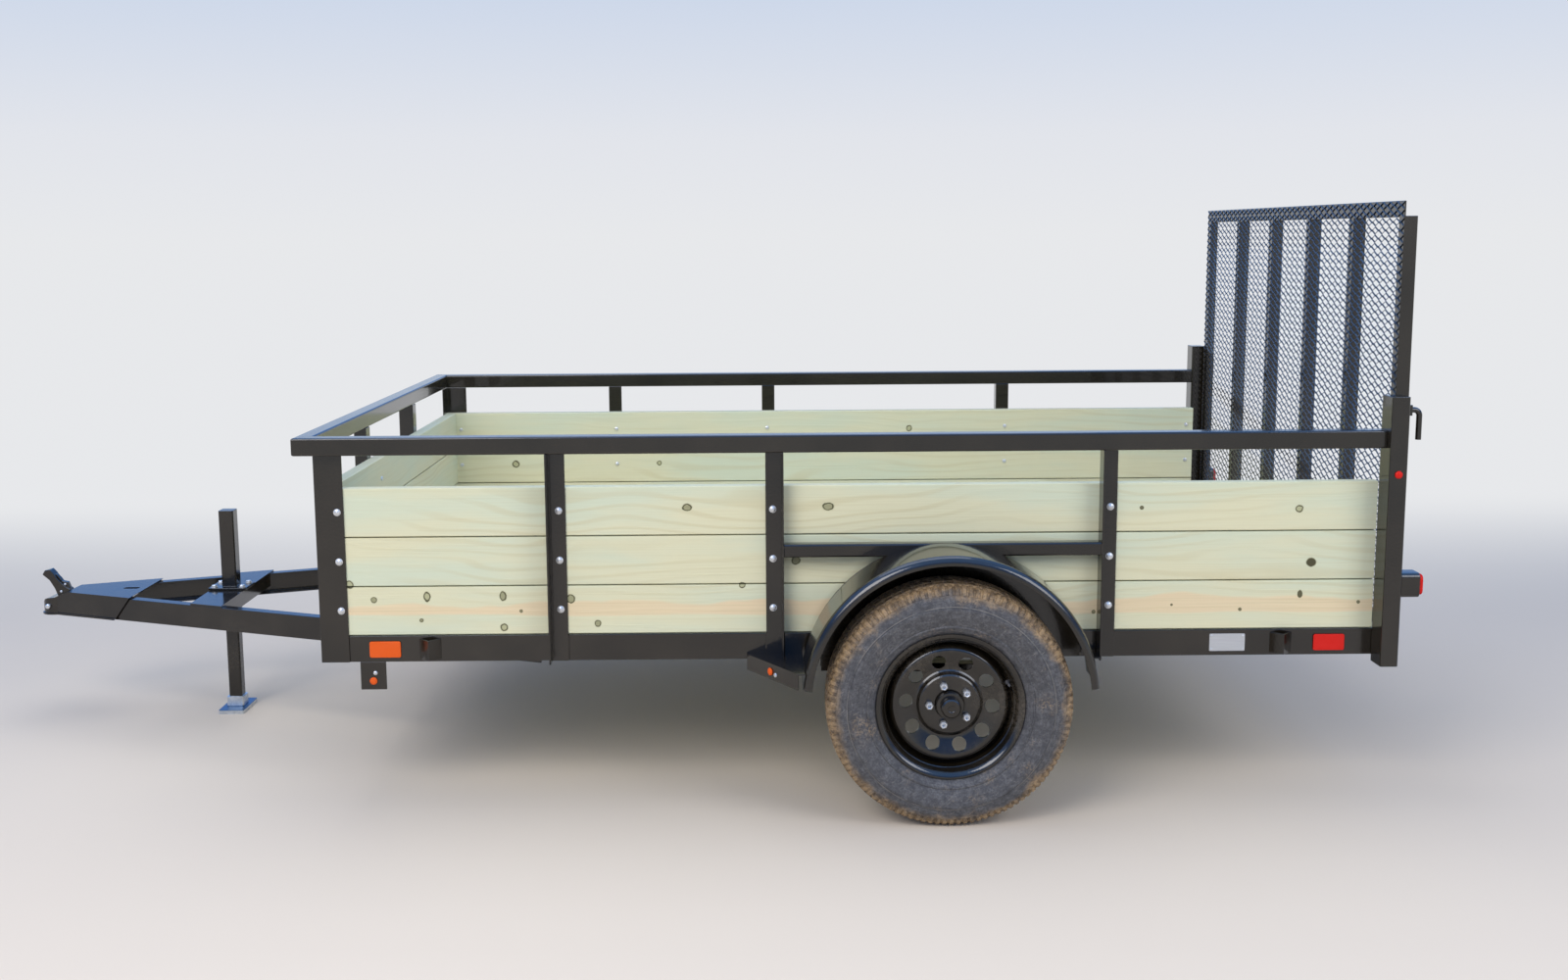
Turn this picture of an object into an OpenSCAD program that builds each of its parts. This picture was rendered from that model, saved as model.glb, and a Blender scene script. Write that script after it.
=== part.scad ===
// Single-axle utility trailer with plank sides, round fenders and a mesh ramp gate.
// X runs to the rear, Y to the trailer's right and Z up from the ground.

/* [Bed frame] */
// Width over the side rails
bed_w = 1956; // [1700:1:2100]
// Length of the bed frame
bed_l = 3048; // [2900:1:3400]
// Height of the frame's underside above the ground
frame_z = 428; // [420:1:450]
// Height of the frame angles
rail_h = 76; // [72:1:84]
// Width of the frame angles' lower leg
rail_leg = 51; // [45:1:60]
// Thickness of the frame and post angles
angle_t = 5; // [4:0.5:6]
// Number of joists under the floor
joist_n = 5; // [4:1:6]
// Width of a joist's upper leg
joist_leg = 38; // [30:1:45]
// Thickness of the floor planks
floor_t = 25; // [20:1:28]

/* [Walls] */
// Width of a plank
plank_w = 139.7; // [130:0.1:145]
// Thickness of a wall plank
plank_t = 38; // [32:1:40]
// Gap below and between planks
plank_gap = 3.3; // [2:0.1:6]
// Rounding along a plank's edges
plank_ease = 3; // [2:0.5:5]
// Number of planks in a wall
wall_planks = 3; // [2:1:3]
// Height of the posts from the frame's underside to the top rail
post_h = 605; // [590:1:640]
// Leg of the side and front uprights
upright_leg = 51; // [45:1:58]
// Leg of the front corner posts
corner_leg = 76; // [70:1:90]
// Size of the square top rail
top_rail_w = 51; // [45:1:56]
// Wall of the square and flat tubes
tube_t = 3; // [2.5:0.5:4]
// Outer corner radius of the tubes
tube_r = 6; // [5:0.5:8]
// Length of a rear post's section along the trailer
rear_post_l = 51; // [48:1:60]
// Width of a rear post's section across the trailer
rear_post_w = 76; // [70:1:85]
// Height of the rear posts
rear_post_h = 770; // [740:1:800]
// How far the rear posts hang below the frame
rear_post_drop = 18; // [10:1:30]

/* [Tongue] */
// Width over the tongue rails at the front of the bed
tongue_w = 992; // [900:1:1050]
// Angle of each tongue rail to the centre line
tongue_angle = 21.4; // [21:0.1:22]
// Height of the tongue channel
tongue_h = 76; // [70:1:80]
// Flange of the tongue channel
tongue_flange = 36; // [30:1:40]
// How far the tongue rails run under the bed
tongue_back = 590; // [540:1:640]
// Front end of the tongue rails ahead of the bed
tongue_front = 1128; // [1110:1:1132]
// Tip of the coupler ahead of the bed
coupler_tip = 1235; // [1225:1:1245]
// Diameter of the towing ball
ball_d = 50.8; // [47:0.1:51]

/* [Jack] */
// Centre of the jack ahead of the bed
jack_x = 583; // [560:1:600]
// Size of the jack's outer tube
jack_w = 51; // [50:1:56]
// Top of the jack above the ground
jack_top_z = 708; // [690:1:720]
// Lower end of the jack's outer tube
jack_low_z = 345; // [342:1:350]
// Top of the sliding leg above the ground
leg_top_z = 418; // [400:1:420]
// Running gap between leg and tube
leg_gap = 0.3; // [0.2:0.05:0.5]
// Length of the foot along the trailer
foot_l = 88; // [80:1:100]
// Width of the foot across the trailer
foot_w = 152; // [140:1:180]

/* [Wheels and axle] */
// Axle centre behind the front of the bed
axle_x = 1779; // [1760:1:1800]
// Outer radius of a tyre
tyre_r = 344; // [335:1:350]
// Section width of a tyre
tyre_w = 205; // [195:1:212]
// Radius of the bead seat
bead_r = 190; // [186:1:192]
// Wheel centre plane outside the side rail
wheel_out = 137; // [130:1:145]
// Number of holes in the wheel disc
disc_holes = 10; // [8:1:12]
// Radius of the axle beam
beam_r = 30; // [26:1:32]
// Radius of the wheel spindle
spindle_r = 17.5; // [15:0.5:19]
// Radial running gap on spindles and hinge pins
run_gap = 0.05; // [0.03:0.01:0.08]

/* [Fenders] */
// Outer radius of a fender
fender_r = 410; // [400:1:414]
// Height of the fender arc's centre
fender_z = 362; // [356:1:366]
// Lower edge of a fender above the ground
fender_low_z = 400; // [394:1:406]
// Width of a fender
fender_w = 190; // [180:1:200]
// Sheet thickness of a fender
fender_t = 2.5; // [2:0.5:3]
// Depth of the fender's turned-down lip
fender_lip = 26; // [20:1:32]
// Size of the bar that carries the fender
fender_bar = 38; // [34:1:42]

/* [Gate] */
// Height of the gate over its mesh
gate_h = 1222; // [1180:1:1250]
// Leg of the gate's angles
gate_leg = 38; // [34:1:42]
// Thickness of the gate's angles
gate_t = 4; // [3:0.5:5]
// Thickness of the gate's mesh
mesh_t = 3; // [2.5:0.5:4]
// Number of gate uprights
gate_uprights = 6; // [5:1:7]
// Gap between gate and rear posts
gate_gap = 15; // [12:1:20]
// Radius of the gate's hinge pins
pin_r = 6; // [5:0.5:8]

/* [Hidden] */
$fn = 48;

// Overrun of every cut
over = 2;
// Gap between pieces that are fitted together by hand
seat_gap = 0.3;

// How far the rear posts stand ahead of the bed's end
rear_post_lap = 33;

half_w = bed_w / 2;
rail_top_z = frame_z + rail_h;
floor_low_z = rail_top_z - floor_t;
post_top_z = frame_z + post_h;
rear_post_x = bed_l - rear_post_lap;
rear_post_end = rear_post_x + rear_post_l;
rear_post_z = frame_z - rear_post_drop;

// Tail lamps behind the rear posts
lamp_l = 65;
lamp_w = 66;
lamp_h = 71;
lamp_r = 14;
lens_l = 12;
lamp_up = 216;
lamp_z = frame_z + lamp_up;

// The origin lies on the ground below the middle of the whole trailer
x_mid = (rear_post_end + lamp_l - coupler_tip) / 2;

// Steel and wood as they look
black_paint = "#17181b";
zinc = "#b9bec4";
pine = "#d8d9a8";
rubber = "#2f2d2c";
amber = "#f08a1a";
lamp_red = "#c8201c";
bare_plate = "#c9ccce";

// Puts a piece drawn from the front of the bed in the trailer's own frame
module placed() {
    translate([-x_mid, 0, 0]) children();
}

// Draws a right-hand piece on both sides
module both_sides() {
    children();
    mirror([0, 1, 0]) children();
}

// Puts a right-hand piece on the named side
module on_side(side) {
    placed() mirror([0, side == "left" ? 1 : 0, 0]) children();
}

// Section of an angle with its heel at the origin
module angle_section(leg_a, leg_b, t) {
    polygon([[0, 0], [leg_a, 0], [leg_a, t], [t, t], [t, leg_b], [0, leg_b]]);
}

// Rectangle about the origin with round corners
module round_rect(w, h, r) {
    square([w - 2 * r, h], center = true);
    square([w, h - 2 * r], center = true);
    for (x = [-1, 1], y = [-1, 1])
        translate([x * (w / 2 - r), y * (h / 2 - r)]) circle(r);
}

// Slot about the origin with round ends
module slot_shape(l, w) {
    square([l - w, w], center = true);
    for (x = [-1, 1]) translate([x * (l - w) / 2, 0]) circle(w / 2);
}

// Section of a tube about the origin
module tube_section(w, h, t, r) {
    difference() {
        round_rect(w, h, r);
        round_rect(w - 2 * t, h - 2 * t, r - t);
    }
}

// Extrudes a section drawn in Y and Z along X
module along_x(length) {
    rotate([90, 0, 90]) linear_extrude(length) children();
}

// Extrudes a section drawn in X and Z along Y
module along_y(length) {
    translate([0, length, 0]) rotate([90, 0, 0]) linear_extrude(length) children();
}

// Bed frame

module side_rail() {
    translate([0, half_w, frame_z]) along_x(bed_l)
        mirror([1, 0]) angle_section(rail_leg, rail_h, angle_t);
}

module rail_left() {
    color(black_paint) on_side("left") side_rail();
}

module rail_right() {
    color(black_paint) on_side("right") side_rail();
}

// Strip across the frame, wide above the rails' lower legs and narrow between them
module cross_web(top_z) {
    wide = half_w - angle_t;
    narrow = half_w - rail_leg;
    translate([0, -wide, frame_z + angle_t])
        cube([angle_t, 2 * wide, top_z - frame_z - angle_t]);
    translate([0, -narrow, frame_z])
        cube([angle_t, 2 * narrow, top_z - frame_z]);
}

module end_member() {
    narrow = half_w - rail_leg;
    cross_web(rail_top_z);
    translate([0, -narrow, frame_z]) cube([rail_leg, 2 * narrow, angle_t]);
}

module end_members() {
    color(black_paint) placed() {
        end_member();
        translate([bed_l, 0, 0]) mirror([1, 0, 0]) end_member();
    }
}

module joists() {
    wide = half_w - angle_t;
    pitch = bed_l / (joist_n + 1);
    color(black_paint) placed()
        for (i = [1 : joist_n])
            translate([i * pitch, 0, 0]) {
                cross_web(floor_low_z);
                translate([0, -wide, floor_low_z - angle_t])
                    cube([joist_leg, 2 * wide, angle_t]);
            }
}

module plank(length, t) {
    along_x(length) round_rect(t, plank_w, plank_ease);
}

module floor_planks() {
    width = bed_w - 2 * angle_t;
    count = floor(width / (plank_w + plank_gap));
    pitch = width / count;
    color(pine) placed()
        for (i = [0 : count - 1])
            translate([angle_t, (i + 0.5) * pitch - width / 2, floor_low_z + floor_t / 2])
                rotate([90, 0, 0]) plank(bed_l - 2 * angle_t, floor_t);
}

// Tongue, coupler and jack

// Half width over the tongue rails, x from the front of the bed
function tongue_half(x) = tongue_w / 2 + x * tan(tongue_angle);

// Plan of a strip along the inside of the right tongue rail's outer face
module tongue_strip(width) {
    across = width / cos(tongue_angle);
    front = tongue_half(-tongue_front);
    back = tongue_half(tongue_back);
    polygon([[-tongue_front, front], [tongue_back, back],
             [tongue_back, back - across], [-tongue_front, front - across]]);
}

module tongue_rails() {
    color(black_paint) placed() both_sides()
        translate([0, 0, frame_z - tongue_h]) {
            linear_extrude(tongue_h) tongue_strip(angle_t);
            linear_extrude(angle_t) tongue_strip(tongue_flange);
            translate([0, 0, tongue_h - angle_t])
                linear_extrude(angle_t) tongue_strip(tongue_flange);
        }
}

// The coupler is a pressed cap over the rails with a ball socket in its nose
coupler_t = 6;
coupler_l = 356;
coupler_slant = 64;
nose_r = 45;
nose_slope_l = 105;
coupler_lip = 5;
nose_back_gap = 6;
socket_gap = 0.5;
socket_up = 28;
slot_l = 55;
slot_w = 22;
slot_back = 52;
coupler_low_z = frame_z - tongue_h;
coupler_top_z = frame_z + coupler_t;
coupler_back = coupler_tip - coupler_l;
coupler_h = coupler_top_z - coupler_low_z;
ball_x = -coupler_tip + nose_r;

// Outline of the nose from its front edge to the top, as shares of the
// slope's length and of the coupler's height
nose_shares = [[0, 0.3], [0.05, 0.5], [0.14, 0.64], [0.27, 0.7], [0.5, 0.73], [1, 1]];
nose_line = [for (share = nose_shares)
    [share.x * nose_slope_l - coupler_tip, share.y * coupler_h + coupler_low_z]];

// Height of the coupler's sloping top over its nose
function nose_top_z(x) = lookup(x, nose_line);

// Plan of the coupler, grown by t from the rails' outer faces
module coupler_plan(front, back, t) {
    grow = t / cos(tongue_angle);
    polygon([[-front, -tongue_half(-front) - grow], [-back, -tongue_half(-back) - grow],
             [-back, tongue_half(-back) + grow], [-front, tongue_half(-front) + grow]]);
}

// Plan of the coupler with its round nose, grown by lip
module coupler_outline(lip) {
    coupler_plan(coupler_tip - nose_r, coupler_back, coupler_t + lip);
    translate([ball_x, 0]) circle(nose_r + lip);
}

module coupler_side() {
    polygon(concat([[-coupler_back, coupler_top_z],
                    [-coupler_back - coupler_slant, coupler_low_z],
                    [-coupler_tip, coupler_low_z]], nose_line));
}

module coupler() {
    socket_r = ball_d / 2 + socket_gap;
    socket_z = coupler_low_z + socket_up;
    slot_x = -coupler_back - slot_back;
    color(black_paint) placed()
        difference() {
            intersection() {
                translate([0, 0, coupler_low_z]) {
                    linear_extrude(coupler_h) coupler_outline(0);
                    linear_extrude(coupler_t) coupler_outline(coupler_lip);
                }
                translate([0, -half_w, 0]) along_y(bed_w) coupler_side();
            }
            translate([0, 0, coupler_low_z - over]) linear_extrude(tongue_h + over)
                coupler_plan(tongue_front + nose_back_gap, coupler_back - over, 0);
            translate([ball_x, 0, socket_z]) sphere(socket_r);
            translate([ball_x, 0, coupler_low_z - over]) cylinder(h = socket_up + over, r = socket_r);
            translate([slot_x, 0, frame_z - over]) linear_extrude(coupler_t + 2 * over)
                slot_shape(slot_l, slot_w);
        }
}

lever_w = 34;
lever_base = 42;
lever_base_x = 54;
lever_rise = 92;
lever_lean = 50;
lever_t = 22;
lever_step = 20;
lever_step_up = 46;

module coupler_lever() {
    front = -coupler_tip + lever_base_x;
    back = front + lever_base;
    tip = front - lever_lean;
    base_z = nose_top_z(front);
    step_z = base_z + lever_step_up;
    tip_z = base_z + lever_rise;
    color(black_paint) placed() translate([0, -lever_w / 2, 0]) along_y(lever_w)
        polygon([[front, base_z], [back, nose_top_z(back)],
                 [back - lever_step / 2, step_z], [back - lever_step / 2 - lever_step, step_z],
                 [tip + lever_t + lever_t / 2, tip_z - lever_t / 2], [tip + lever_t, tip_z],
                 [tip, tip_z - lever_t / 2], [front - lever_t / 2, step_z - lever_step_up / 2]]);
}

bridge_l = 118;
bridge_t = 6;
bridge_lip = 44;
bridge_inset = 4;
flange_l = 130;
flange_w = 104;
flange_t = 8;
jack_cap_t = 4;
jack_wall = 2.7;
foot_t = 14;
collar_w = 58;
collar_h = 48;
leg_wall = 4;

// Half width between the tongue flanges at x from the front of the bed
function tongue_clear(x) = tongue_half(x) - tongue_flange / cos(tongue_angle);

module jack_bridge() {
    front = -jack_x - bridge_l / 2;
    back = -jack_x + bridge_l / 2;
    hole = jack_w + 2 * seat_gap;
    color(black_paint) placed()
        difference() {
            union() {
                translate([0, 0, frame_z]) linear_extrude(bridge_t)
                    polygon([[front, -tongue_half(front)], [back, -tongue_half(back)],
                             [back, tongue_half(back)], [front, tongue_half(front)]]);
                for (x = [front, back - bridge_t]) {
                    lip_half = tongue_clear(x) - bridge_inset;
                    translate([x, -lip_half, frame_z - bridge_lip])
                        cube([bridge_t, 2 * lip_half, bridge_lip]);
                }
            }
            translate([-jack_x, 0, frame_z - over]) linear_extrude(bridge_t + 2 * over)
                round_rect(hole, hole, tube_r);
        }
}

module jack_tube() {
    color(black_paint) placed() translate([-jack_x, 0, 0])
        difference() {
            union() {
                translate([0, 0, jack_low_z]) linear_extrude(jack_top_z - jack_low_z)
                    round_rect(jack_w, jack_w, tube_r);
                translate([0, 0, frame_z + bridge_t]) linear_extrude(flange_t)
                    round_rect(flange_l, flange_w, tube_r);
            }
            translate([0, 0, jack_low_z - over])
                linear_extrude(jack_top_z - jack_cap_t - jack_low_z + over)
                round_rect(jack_w - 2 * jack_wall, jack_w - 2 * jack_wall, tube_r - jack_wall);
        }
}

module jack_leg() {
    leg_w = jack_w - 2 * jack_wall - 2 * leg_gap;
    leg_r = tube_r - jack_wall;
    placed() translate([-jack_x, 0, 0]) {
        color(zinc) linear_extrude(foot_t) round_rect(foot_l, foot_w, tube_r);
        color(zinc) translate([0, 0, foot_t]) linear_extrude(collar_h - foot_t)
            round_rect(collar_w, collar_w, tube_r);
        color(black_paint) translate([0, 0, collar_h]) linear_extrude(leg_top_z - collar_h)
            tube_section(leg_w, leg_w, leg_wall, leg_r + leg_wall);
    }
}

// Walls

// Place of each side upright as a share of the bed, and whether its
// outward leg is on its rear edge
upright_shares = [0.2146, 0.4177, 0.729];
upright_flipped = [false, true, false];
front_upright_share = 1 / 3;

function upright_x(i) = upright_shares[i] * bed_l;

module upright(flipped) {
    translate([flipped ? upright_leg : 0, 0, frame_z]) mirror([flipped ? 1 : 0, 0, 0])
        linear_extrude(post_h) angle_section(upright_leg, upright_leg, angle_t);
}

module side_uprights() {
    for (i = [0 : len(upright_shares) - 1])
        translate([upright_x(i), half_w, 0]) upright(upright_flipped[i]);
}

module uprights_left() {
    color(black_paint) on_side("left") side_uprights();
}

module uprights_right() {
    color(black_paint) on_side("right") side_uprights();
}

module corner_posts() {
    color(black_paint) placed() both_sides()
        translate([-angle_t, half_w + angle_t, frame_z]) mirror([0, 1, 0])
            linear_extrude(post_h) angle_section(corner_leg + angle_t, corner_leg + angle_t, angle_t);
}

module front_uprights() {
    color(black_paint) placed() both_sides()
        translate([0, front_upright_share * half_w, frame_z]) rotate([0, 0, 90])
            linear_extrude(post_h) angle_section(upright_leg, upright_leg, angle_t);
}

module rear_posts() {
    centre = [rear_post_x + rear_post_l / 2, half_w + rear_post_w / 2, rear_post_z];
    color(black_paint) placed() both_sides() translate(centre) {
        linear_extrude(rear_post_h - tube_t)
            tube_section(rear_post_l, rear_post_w, tube_t, tube_r);
        translate([0, 0, rear_post_h - tube_t]) linear_extrude(tube_t)
            round_rect(rear_post_l, rear_post_w, tube_r);
    }
}

// Triangle beyond the mitre line at the right front corner, on the side's or the front's part
module mitre_cut(on_side_part) {
    far = top_rail_w + over;
    keep_out = on_side_part ? [-far, half_w - over] : [over, half_w + far];
    translate([0, 0, post_top_z - over]) linear_extrude(top_rail_w + 2 * over)
        polygon([[over, half_w - over], keep_out, [-far, half_w + far]]);
}

module top_rail_side() {
    difference() {
        translate([-top_rail_w, half_w + top_rail_w / 2, post_top_z + top_rail_w / 2])
            along_x(rear_post_x + top_rail_w)
                tube_section(top_rail_w, top_rail_w, tube_t, tube_r);
        mitre_cut(true);
    }
}

module top_rail_left() {
    color(black_paint) on_side("left") top_rail_side();
}

module top_rail_right() {
    color(black_paint) on_side("right") top_rail_side();
}

module top_rail_front() {
    color(black_paint) placed() difference() {
        translate([-top_rail_w / 2, -half_w - top_rail_w, post_top_z + top_rail_w / 2])
            along_y(bed_w + 2 * top_rail_w) tube_section(top_rail_w, top_rail_w, tube_t, tube_r);
        both_sides() mitre_cut(false);
    }
}

function plank_z(i) = rail_top_z + plank_gap + plank_w / 2 + i * (plank_w + plank_gap);

module side_planks() {
    for (i = [0 : wall_planks - 1])
        translate([0, half_w - plank_t / 2, plank_z(i)]) plank(rear_post_x, plank_t);
}

module planks_left() {
    color(pine) on_side("left") side_planks();
}

module planks_right() {
    color(pine) on_side("right") side_planks();
}

module planks_front() {
    length = bed_w - 2 * plank_t;
    color(pine) placed()
        for (i = [0 : wall_planks - 1])
            translate([plank_t / 2, -length / 2, plank_z(i)])
                along_y(length) round_rect(plank_t, plank_w, plank_ease);
}

// Fenders and the pieces that carry them

fender_bar_z = fender_z + fender_r - fender_bar;
fender_in = half_w + upright_leg;
fender_out = fender_in + fender_w;
fender_bead_r = 22;
fender_low_angle = asin((fender_low_z - fender_z) / fender_r);

module fender_bars() {
    front = upright_x(1) + upright_leg;
    back = upright_x(2);
    color(black_paint) placed() both_sides()
        translate([front, fender_in - fender_bar / 2, fender_bar_z + fender_bar / 2])
            along_x(back - front) tube_section(fender_bar, fender_bar, tube_t, tube_r);
}

// Section of the fender: a sheet rolled down along its outer edge
module fender_section() {
    translate([fender_r - fender_t, fender_in]) square([fender_t, fender_w - fender_bead_r]);
    translate([fender_r - fender_bead_r, fender_out - fender_bead_r])
        intersection() {
            difference() {
                circle(fender_bead_r);
                circle(fender_bead_r - fender_t);
            }
            square(fender_bead_r);
        }
    translate([fender_r - fender_lip, fender_out - fender_t])
        square([fender_lip - fender_bead_r, fender_t]);
}

module fender() {
    span = 180 - 2 * fender_low_angle;
    translate([axle_x, 0, fender_z]) rotate([-90, 0, 0])
        rotate([0, 0, fender_low_angle - 180])
            rotate_extrude(angle = span, $fn = 96) fender_section();
}

module fender_left() {
    color(black_paint) on_side("left") fender();
}

module fender_right() {
    color(black_paint) on_side("right") fender();
}

bracket_t = 4;
bracket_l = 160;
bracket_up = 18;
bracket_z = frame_z + bracket_up;
skirt_h = 46;
rear_tab_w = 60;
// Places along the front bracket's skirt, as shares of its length
skirt_lamp_share = 0.48;

// Where a fender's outer face stands at the brackets' lower face
function fender_reach(r) = sqrt(r * r - pow(bracket_z - bracket_t - fender_z, 2));
bracket_back = axle_x - fender_reach(fender_r);
bracket_front = bracket_back - bracket_l;
bracket_nose = 12;
bracket_tip = 20;
bracket_tip_y = fender_out - fender_bead_r / 2;
// Free edge of the front bracket, from the rail to the fender's outer corner
skirt_from = [bracket_front, half_w + bracket_nose];
skirt_to = [bracket_back - bracket_tip, bracket_tip_y];
skirt_run = skirt_to - skirt_from;
skirt_angle = atan2(skirt_run[1], skirt_run[0]);
skirt_l = norm(skirt_run);

// Plate from the rail to the fender's front edge, with a skirt folded down its free edge
module front_bracket() {
    inward = bracket_t * [sin(skirt_angle), -cos(skirt_angle)];
    difference() {
        union() {
            translate([0, 0, bracket_z - bracket_t]) linear_extrude(bracket_t)
                polygon([[bracket_front, half_w], [bracket_back, half_w],
                         [bracket_back, bracket_tip_y], skirt_to, skirt_from]);
            translate([0, 0, bracket_z - skirt_h]) linear_extrude(skirt_h)
                polygon([skirt_from, skirt_to, skirt_to + inward, skirt_from + inward]);
        }
        translate([upright_x(1) + upright_leg, half_w, bracket_z - skirt_h - over]) mirror([1, 0, 0])
            linear_extrude(skirt_h + 2 * over)
                angle_section(upright_leg, upright_leg, angle_t);
    }
}

// Tab from the rear upright's outward leg to the fender's rear edge
module rear_bracket() {
    front = axle_x + fender_reach(fender_r);
    translate([front, fender_in - rear_tab_w / 2, bracket_z - bracket_t])
        cube([upright_x(2) - front, rear_tab_w, bracket_t]);
}

module fender_brackets() {
    color(black_paint) placed() both_sides() {
        front_bracket();
        rear_bracket();
    }
}

back_clear = 10;

// Plate that closes the inner side of the fender below its bar
module fender_backs() {
    back_r = fender_r - bracket_t;
    color(black_paint) placed() both_sides()
        translate([axle_x, wheel_y - tyre_w / 2 - back_clear - fender_t, 0]) along_y(fender_t)
            intersection() {
                translate([0, fender_z]) circle(back_r);
                translate([-back_r, bracket_z]) square([2 * back_r, fender_bar_z - bracket_z]);
            }
}

// Fittings on the side rails

// Stake pocket bent from an angle, its ridge outward
pocket_w = 64;
pocket_h = 60;
pocket_out = 32;
pocket_in = 46;
pocket_low = 8;
pocket_shares = [0.101, 0.9035];

module stake_pocket() {
    linear_extrude(pocket_h) difference() {
        polygon([[-pocket_w / 2, 0], [pocket_w / 2, 0], [0, pocket_out]]);
        polygon([[-pocket_in / 2, 0], [pocket_in / 2, 0],
                 [0, pocket_in * pocket_out / pocket_w]]);
    }
}

module stake_pockets() {
    color(black_paint) placed() both_sides()
        for (share = pocket_shares)
            translate([share * bed_l, half_w, frame_z + pocket_low]) stake_pocket();
}

reflector_l = 90;
reflector_h = 48;
reflector_t = 6;
reflector_r = 6;
reflector_low = 13;
amber_share = 0.0585;
red_share = 0.949;
plate_share = 0.853;
plate_l = 102;
plate_h = 51;
plate_t = 1.5;

// Flat piece with round corners on the right rail's outer face
module rail_plate(share, l, h, t, r) {
    translate([share * bed_l, half_w, frame_z + reflector_low + h / 2])
        along_y(t) round_rect(l, h, r);
}

module amber_reflectors() {
    color(amber) placed() both_sides()
        rail_plate(amber_share, reflector_l, reflector_h, reflector_t, reflector_r);
}

module red_reflectors() {
    color(lamp_red) placed() both_sides()
        rail_plate(red_share, reflector_l, reflector_h, reflector_t, reflector_r);
}

module blank_plate() {
    color(bare_plate) on_side("left")
        rail_plate(plate_share, plate_l, plate_h, plate_t, reflector_r / 2);
}

// Marker lamps, some on plates that hang below the rails
hanger_plate_l = 74;
hanger_plate_h = 82;
hanger_share = 0.0462;
marker_r = 11;
marker_dome = 7;
marker_drop = 56;

module marker_bracket() {
    translate([hanger_share * bed_l, half_w - angle_t, frame_z - hanger_plate_h / 2])
        along_y(angle_t) square([hanger_plate_l, hanger_plate_h], center = true);
}

module marker_brackets() {
    color(black_paint) placed() both_sides() marker_bracket();
}

// Small round lamp with a domed lens, its base on the plane y = 0
module marker_lamp() {
    rotate([-90, 0, 0]) {
        cylinder(h = marker_dome / 2, r = marker_r);
        translate([0, 0, marker_dome / 2]) cylinder(h = marker_dome / 2, r1 = marker_r, r2 = marker_r / 2);
    }
}

module amber_markers() {
    color(amber) placed() both_sides() {
        translate([hanger_share * bed_l, half_w, frame_z - marker_drop]) marker_lamp();
        translate([skirt_from[0], skirt_from[1], bracket_z - skirt_h / 2]) rotate([0, 0, skirt_angle])
            translate([skirt_lamp_share * skirt_l, 0, 0]) marker_lamp();
    }
}

red_marker_up = 552;

module red_markers() {
    color(lamp_red) placed() both_sides()
        translate([rear_post_x + rear_post_l / 2, half_w + rear_post_w, rear_post_z + red_marker_up])
            marker_lamp();
}

module lamp_housings() {
    color(black_paint) placed() both_sides()
        translate([rear_post_end, half_w + rear_post_w / 2, lamp_z])
            along_x(lamp_l - lens_l) round_rect(lamp_w, lamp_h, lamp_r);
}

module lamp_lenses() {
    color(lamp_red) placed() both_sides()
        translate([rear_post_end + lamp_l - lens_l, half_w + rear_post_w / 2, lamp_z])
            along_x(lens_l) round_rect(lamp_w - lens_l, lamp_h - lens_l, lamp_r);
}

// Axle and springs

axle_z = tyre_r;
wheel_y = half_w + wheel_out;
hub_in = 60;
hub_nose = 66;
beam_gap = 15;
spindle_short = 12;
beam_half = wheel_y - hub_in - beam_gap;
spindle_half = wheel_y + hub_nose - spindle_short;

module axle() {
    color(black_paint) placed() translate([axle_x, 0, axle_z]) {
        translate([0, -beam_half, 0]) rotate([-90, 0, 0]) cylinder(h = 2 * beam_half, r = beam_r);
        translate([0, -spindle_half, 0]) rotate([-90, 0, 0])
            cylinder(h = 2 * spindle_half, r = spindle_r);
    }
}

spring_half = 318;
spring_w = 45;
spring_in = 46;
spring_r = 4200;
leaf_t = 7;
// Length of each leaf from the top one down, as shares of the whole spring
leaf_shares = [1, 0.7, 0.4];
seat_h = 6;
spring_y = half_w - spring_in;
spring_low_z = axle_z + beam_r + seat_h;
spring_top_z = spring_low_z + len(leaf_shares) * leaf_t;
eye_r = 15;
hanger_bolt_r = 7;

// How far the spring's curve rises at x from the axle
function leaf_rise(x) = spring_r - sqrt(spring_r * spring_r - x * x);

eye_up = 3;
eye_z = spring_top_z + leaf_rise(spring_half) - eye_r + eye_up;

// Points along the upper face of the leaf numbered i, between two places from the axle
leaf_steps = 8;
function leaf_edge(i, from, to) = [for (k = [0 : leaf_steps])
    let (x = from + (to - from) * k / leaf_steps) [x, leaf_rise(x) - i * leaf_t]];

// Stepped outline of the stacked leaves about the top of the axle's middle
last_leaf = len(leaf_shares) - 1;
leaf_ends = spring_half * leaf_shares;
leaf_outline = [
    each leaf_edge(0, -leaf_ends[0], leaf_ends[0]),
    for (i = [0 : last_leaf - 1]) each leaf_edge(i + 1, leaf_ends[i], leaf_ends[i + 1]),
    each leaf_edge(last_leaf + 1, leaf_ends[last_leaf], -leaf_ends[last_leaf]),
    for (i = [last_leaf - 1 : -1 : 0]) each leaf_edge(i + 1, -leaf_ends[i + 1], -leaf_ends[i])
];

// Circles at the spring's two eyes
module eye_circles(r) {
    for (side = [-1, 1]) translate([side * spring_half, eye_z - spring_top_z]) circle(r);
}

module leaf_springs() {
    color(black_paint) placed() both_sides()
        translate([axle_x, spring_y - spring_w / 2, spring_top_z]) along_y(spring_w) difference() {
            union() {
                polygon(leaf_outline);
                eye_circles(eye_r);
            }
            eye_circles(hanger_bolt_r + run_gap);
        }
}

hanger_t = 6;
hanger_l = 60;
hanger_gap = 1;
hanger_low_z = eye_z - eye_r;

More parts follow.
